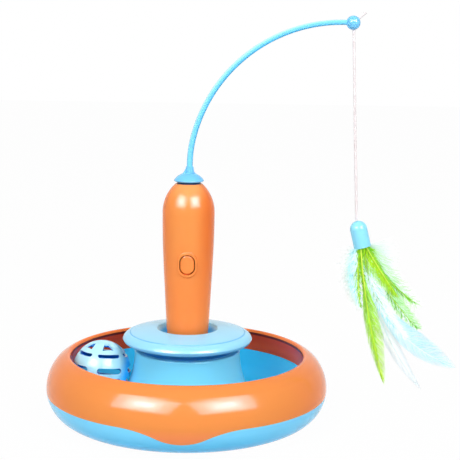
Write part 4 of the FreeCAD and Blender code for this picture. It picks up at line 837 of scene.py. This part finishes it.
def grow_vane(ribbons, feather, look, chance):
    """The closed part of the feather: barbs side by side that end on its outline."""
    steps = BARB_STEPS
    start = look["vane_from"]
    count = look["barbs"]
    spacing = feather.length * (1 - start) / count
    for side, half in ((-1, look["left"]), (1, look["right"])):
        clump_left = 0
        for index in range(count):
            if clump_left == 0:
                clump_left = chance.randint(*CLUMP_SIZES)
                clump_reach = 1.0 - look["split"] * chance.random()
                clump_shade = chance.uniform(*CLUMP_SHADES)
            clump_left -= 1
            run = (index + 0.5) / count
            end = start + (1 - start) * run
            outline = math.sin(math.pi * run ** look["belly"]) ** look["fullness"]
            reach = half * MM * outline * clump_reach * chance.uniform(*REACH_SPREAD)
            sweep = look["sweep"] * (1 - SWEEP_LOSS * run) * chance.uniform(*SWEEP_SPREAD)
            base = max(end - sweep, 0.01)
            turn_out = base + ELBOW_ALONG * (end - base)
            foot = feather.spine(base)
            elbow = (feather.spine(turn_out)
                     + feather.sideways(turn_out) * side * reach * ELBOW_OUT)
            tip = feather.spine(end) + feather.sideways(end) * side * reach
            cup = look["cup"] * reach
            tip.y += cup * chance.uniform(*CUP_SPREAD)
            spots = bent_line(foot, elbow, tip, steps)
            slant = reach / max((tip - foot).length, 1e-6)
            width = spacing * max(slant, LEAST_SLANT) * look["cover"]
            widths = [width * (1 - THINNING * (step / steps) ** 2)
                      for step in range(steps + 1)]
            across = flat_across(spots, chance.uniform(*BARB_TILTS))
            shade = (clump_shade + side * look["lighter_right"]
                     + chance.uniform(*SHADE_SPREAD))
            colour_share = end + (look["right_ahead"] if side > 0 else 0.0)
            ribbons.add([feather.placed(spot) for spot in spots], widths,
                        [feather.turn @ side_way for side_way in across],
                        min(colour_share, 1.0), min(max(shade, 0.0), 1.0))


def grow_down(ribbons, feather, down, chance):
    """Loose downy barbs, finer and curlier than the vane's."""
    steps = BARB_STEPS
    first, last = down["between"]
    for _ in range(down["count"]):
        share = first + (last - first) * chance.random()
        side = 1 if chance.random() < down["right"] else -1
        angle = math.radians(chance.uniform(*down["angle"]))
        forward = feather.forward(share)
        outward = feather.sideways(share) * side
        taper = 1 - DOWN_TAPER * ((share - first) / (last - first)) ** 2
        length = chance.uniform(*DOWN_LENGTHS) * down["length"] * taper * MM
        heading = (forward * math.cos(angle) + outward * math.sin(angle)).normalized()
        foot = feather.spine(share)
        elbow = foot + heading * length * 0.5
        curl = chance.uniform(*DOWN_CURLS)
        tip = elbow + (heading * (1 - curl) + forward * curl) * length * 0.5
        tip.y += chance.uniform(*down["depth"]) * length
        spots = bent_line(foot, elbow, tip, steps)
        wave = chance.uniform(*DOWN_WAVES) * MM
        phase = chance.uniform(*DOWN_PHASES)
        across = flat_across(spots, chance.uniform(*DOWN_TILTS))
        waved = []
        for step, (spot, side_way) in enumerate(zip(spots, across)):
            waved.append(spot + side_way * wave * step / steps * math.sin(phase + step * 1.3))
        width = down["width"] * MM
        widths = [width * (1 - THINNING * step / steps) for step in range(steps + 1)]
        ribbons.add([feather.placed(spot) for spot in waved], widths,
                    [feather.turn @ side_way for side_way in across], share,
                    chance.random(), down["slot"])


def make_feather(node, root_across, tip, sag, layer, look, materials):
    """A quill, its vane and its down in one mesh that stands for the feather's solid."""
    feather = Feather(root_across, tip, sag, layer)
    chance = random.Random(node)
    ribbons = Ribbons()
    shares = [step / SPINE_STEPS * SPINE_SHARE for step in range(SPINE_STEPS + 1)]
    spine = [feather.placed(feather.spine(share)) for share in shares]
    radii = [(QUILL_GROWTH * (1 - share) ** QUILL_TAPER + QUILL_TIP) * MM
             for share in shares]
    ribbons.add_tube(spine, radii, shares, 1)
    grow_vane(ribbons, feather, look, chance)
    for down in look["downs"]:
        grow_down(ribbons, feather, down, chance)
    piece = ribbons.build(node + "_barbs", materials)
    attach(piece, "feather_head")
    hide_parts(node)


def pick(stuff, *names):
    return [stuff[name] for name in names]


def vane(barbs, vane_from, left, right, downs, **changes):
    """How a feather is grown: its closed part's barbs and half widths in millimetres,
    and its groups of down."""
    words = {
        "barbs": barbs, "vane_from": vane_from, "left": left, "right": right,
        "downs": downs, "belly": 0.8, "fullness": 0.8, "sweep": 0.16, "split": 0.10,
        "cup": 0.12, "cover": 1.7, "right_ahead": 0.0, "lighter_right": 0.0,
    }
    words.update(changes)
    return words


def fluff(count, between, length, angle=(15.0, 60.0), width=0.32, right=0.5, slot=2,
          depth=(-0.3, 0.4)):
    """One group of down: where on the spine it grows, how long and which way."""
    return {"count": count, "between": between, "length": length, "angle": angle,
            "width": width, "right": right, "slot": slot, "depth": depth}


def feather_materials():
    """Quills, barbs of the closed parts, and down, by name."""
    made = {
        "quill_lime": moulded("quill_lime", YELLOW, LIME, 0.4, 0.2),
        "quill_pale": moulded("quill_pale", WHITE, ICE, 0.4, 0.2),
    }
    for name, look in BARB_LOOKS.items():
        made[name] = barb_material(name, *look)
    return made


def make_front_feather(stuff):
    """The long green one in front of all others."""
    look = vane(300, 0.3, 4.2, 8.0, [
        fluff(700, (0.02, 0.4), 5.0, (15, 50), 0.5, right=0.15),
        fluff(240, (0.0, 0.08), 4.0, (10, 80), 0.5),
        fluff(500, (0.26, 0.8), 11.0, (8, 32), 0.4, slot=0),
    ], belly=0.85, lighter_right=0.15)
    make_feather("green_feather_front", -1.6, (143.0, 30.0), -2.6, -3.5, look,
                 pick(stuff, "barbs_front", "quill_lime", "down_leaf"))


def make_left_feather(stuff):
    """A short, ragged green one mixed with pale and teal down."""
    look = vane(120, 0.04, 2.0, 1.6, [
        fluff(420, (0.0, 0.95), 5.0, (12, 50), 0.5, right=0.4),
        fluff(520, (0.05, 0.9), 8.0, (12, 60), 0.45, right=0.1, slot=3),
        fluff(200, (0.0, 0.9), 5.0, (12, 50), 0.5, right=0.4, slot=4),
        fluff(150, (0.3, 0.92), 8.0, (10, 35), 0.45, right=0.2, slot=0),
        fluff(160, (0.1, 0.9), 8.0, (12, 60), 0.4, right=0.1, slot=5),
    ], split=0.6, fullness=1.4)
    make_feather("green_feather_left", -2.0, (126.0, 82.8), -2.0, -2.5, look,
                 pick(stuff, "barbs_leaf", "quill_lime", "down_leaf", "down_ice",
                      "down_green", "down_teal"))


def make_middle_feather(stuff):
    """A broad lime one whose barbs all hang to the left."""
    look = vane(260, 0.0, 9.6, 2.0, [
        fluff(700, (0.0, 0.35), 7.0, (5, 60), 0.55, right=0.2, depth=(0.0, 0.4)),
        fluff(400, (0.0, 0.85), 17.0, (6, 30), 0.55, right=0.0, slot=0, depth=(0.0, 0.3)),
        fluff(400, (0.02, 0.9), 4.0, (6, 40), 0.6, right=1.0, slot=3),
        fluff(200, (0.05, 0.6), 9.0, (6, 30), 0.5, right=0.0, slot=3, depth=(0.0, 0.2)),
    ], belly=0.65, sweep=0.34, split=0.06)
    make_feather("green_feather_middle", 2.2, (153.7, 90.6), -0.5, -1.5, look,
                 pick(stuff, "barbs_lime", "quill_lime", "down_green", "barbs_leaf"))


def make_blue_feather(stuff):
    """The large pale blue one with a thick coat of white down."""
    look = vane(460, 0.24, 6.8, 10.2, [
        fluff(1600, (0.03, 0.45), 9.0, (15, 60), 0.4, right=0.5),
        fluff(1800, (0.12, 0.62), 17.0, (12, 45), 0.4, right=0.9),
        fluff(420, (0.08, 0.55), 11.0, (15, 60), 0.6, right=0.7, slot=3),
        fluff(160, (0.15, 0.5), 12.0, (15, 50), 0.5, right=0.9, slot=4),
        fluff(600, (0.04, 0.42), 4.5, (10, 80), 0.45, slot=4),
    ], belly=1.6, right_ahead=0.12, split=0.05)
    make_feather("blue_feather_large", 0.8, (197.5, 39.6), -17.5, -0.5, look,
                 pick(stuff, "barbs_blue", "quill_pale", "down_ice", "down_teal",
                      "down_leaf"))


def make_white_feather(stuff):
    look = vane(260, 0.4, 4.8, 5.0, [
        fluff(500, (0.1, 0.6), 9.0, width=0.45),
    ], sweep=0.2)
    make_feather("white_feather", 0.4, (173.0, 21.4), -8.0, 0.5, look,
                 pick(stuff, "barbs_white", "quill_pale", "down_ice"))


def make_upper_feather(stuff):
    """The upper short green one, in a wide halo of pale down."""
    look = vane(160, 0.5, 2.0, 2.6, [
        fluff(800, (0.0, 1.0), 16.0, (12, 60), 0.4, right=0.85),
        fluff(900, (0.05, 1.0), 17.0, (12, 60), 0.4, right=0.85, slot=5),
        fluff(650, (0.1, 1.0), 9.0, (5, 32), 0.5, right=0.6, slot=3),
        fluff(700, (0.0, 0.4), 25.0, (30, 88), 0.2, right=0.95, slot=4),
    ], split=0.3)
    make_feather("green_feather_upper", 2.9, (167.0, 85.6), -3.8, 1.5, look,
                 pick(stuff, "barbs_tip", "quill_lime", "down_mint", "barbs_leaf", "halo",
                      "down_ice"))


def make_lower_feather(stuff):
    """The lower short green one on the right."""
    look = vane(120, 0.45, 2.6, 6.6, [
        fluff(900, (0.3, 1.0), 14.0, (12, 60), 0.4, right=0.9),
        fluff(900, (0.2, 0.97), 14.0, (12, 60), 0.4, right=0.8, slot=4),
        fluff(500, (0.5, 1.0), 9.0, (10, 65), 0.42, right=0.6, slot=3),
    ], split=0.45, cover=0.9)
    make_feather("green_feather_lower", 2.0, (169.6, 66.4), -4.0, 2.5, look,
                 pick(stuff, "barbs_tip", "quill_lime", "down_mint", "barbs_leaf",
                      "down_ice"))


def make_cyan_feather(stuff):
    """The fluffy pale blue one behind the others on the left."""
    look = vane(120, 0.1, 3.6, 3.0, [
        fluff(1500, (0.0, 0.95), 9.0, (12, 65), 0.4, right=0.25),
        fluff(700, (0.0, 0.9), 8.5, (12, 65), 0.5, right=0.25, slot=3),
        fluff(600, (0.0, 0.95), 17.0, (25, 80), 0.2, right=0.05, slot=4),
    ], split=0.3)
    make_feather("cyan_feather_left", -2.2, (128.4, 79.7), -5.0, 3.5, look,
                 pick(stuff, "barbs_blue", "quill_pale", "down_back", "down_teal", "halo"))


def make_feathers():
    stuff = feather_materials()
    make_front_feather(stuff)
    make_left_feather(stuff)
    make_middle_feather(stuff)
    make_blue_feather(stuff)
    make_white_feather(stuff)
    make_upper_feather(stuff)
    make_lower_feather(stuff)
    make_cyan_feather(stuff)


make_camera()
make_world()
make_floor()
gloss_lights = make_lights()
paint_hard_parts()
make_feathers()
cord = make_cord()
keep_off(gloss_lights, (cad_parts["arm_rod"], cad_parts["cord_end"], cord))

bpy.context.scene.view_settings.view_transform = "Standard"
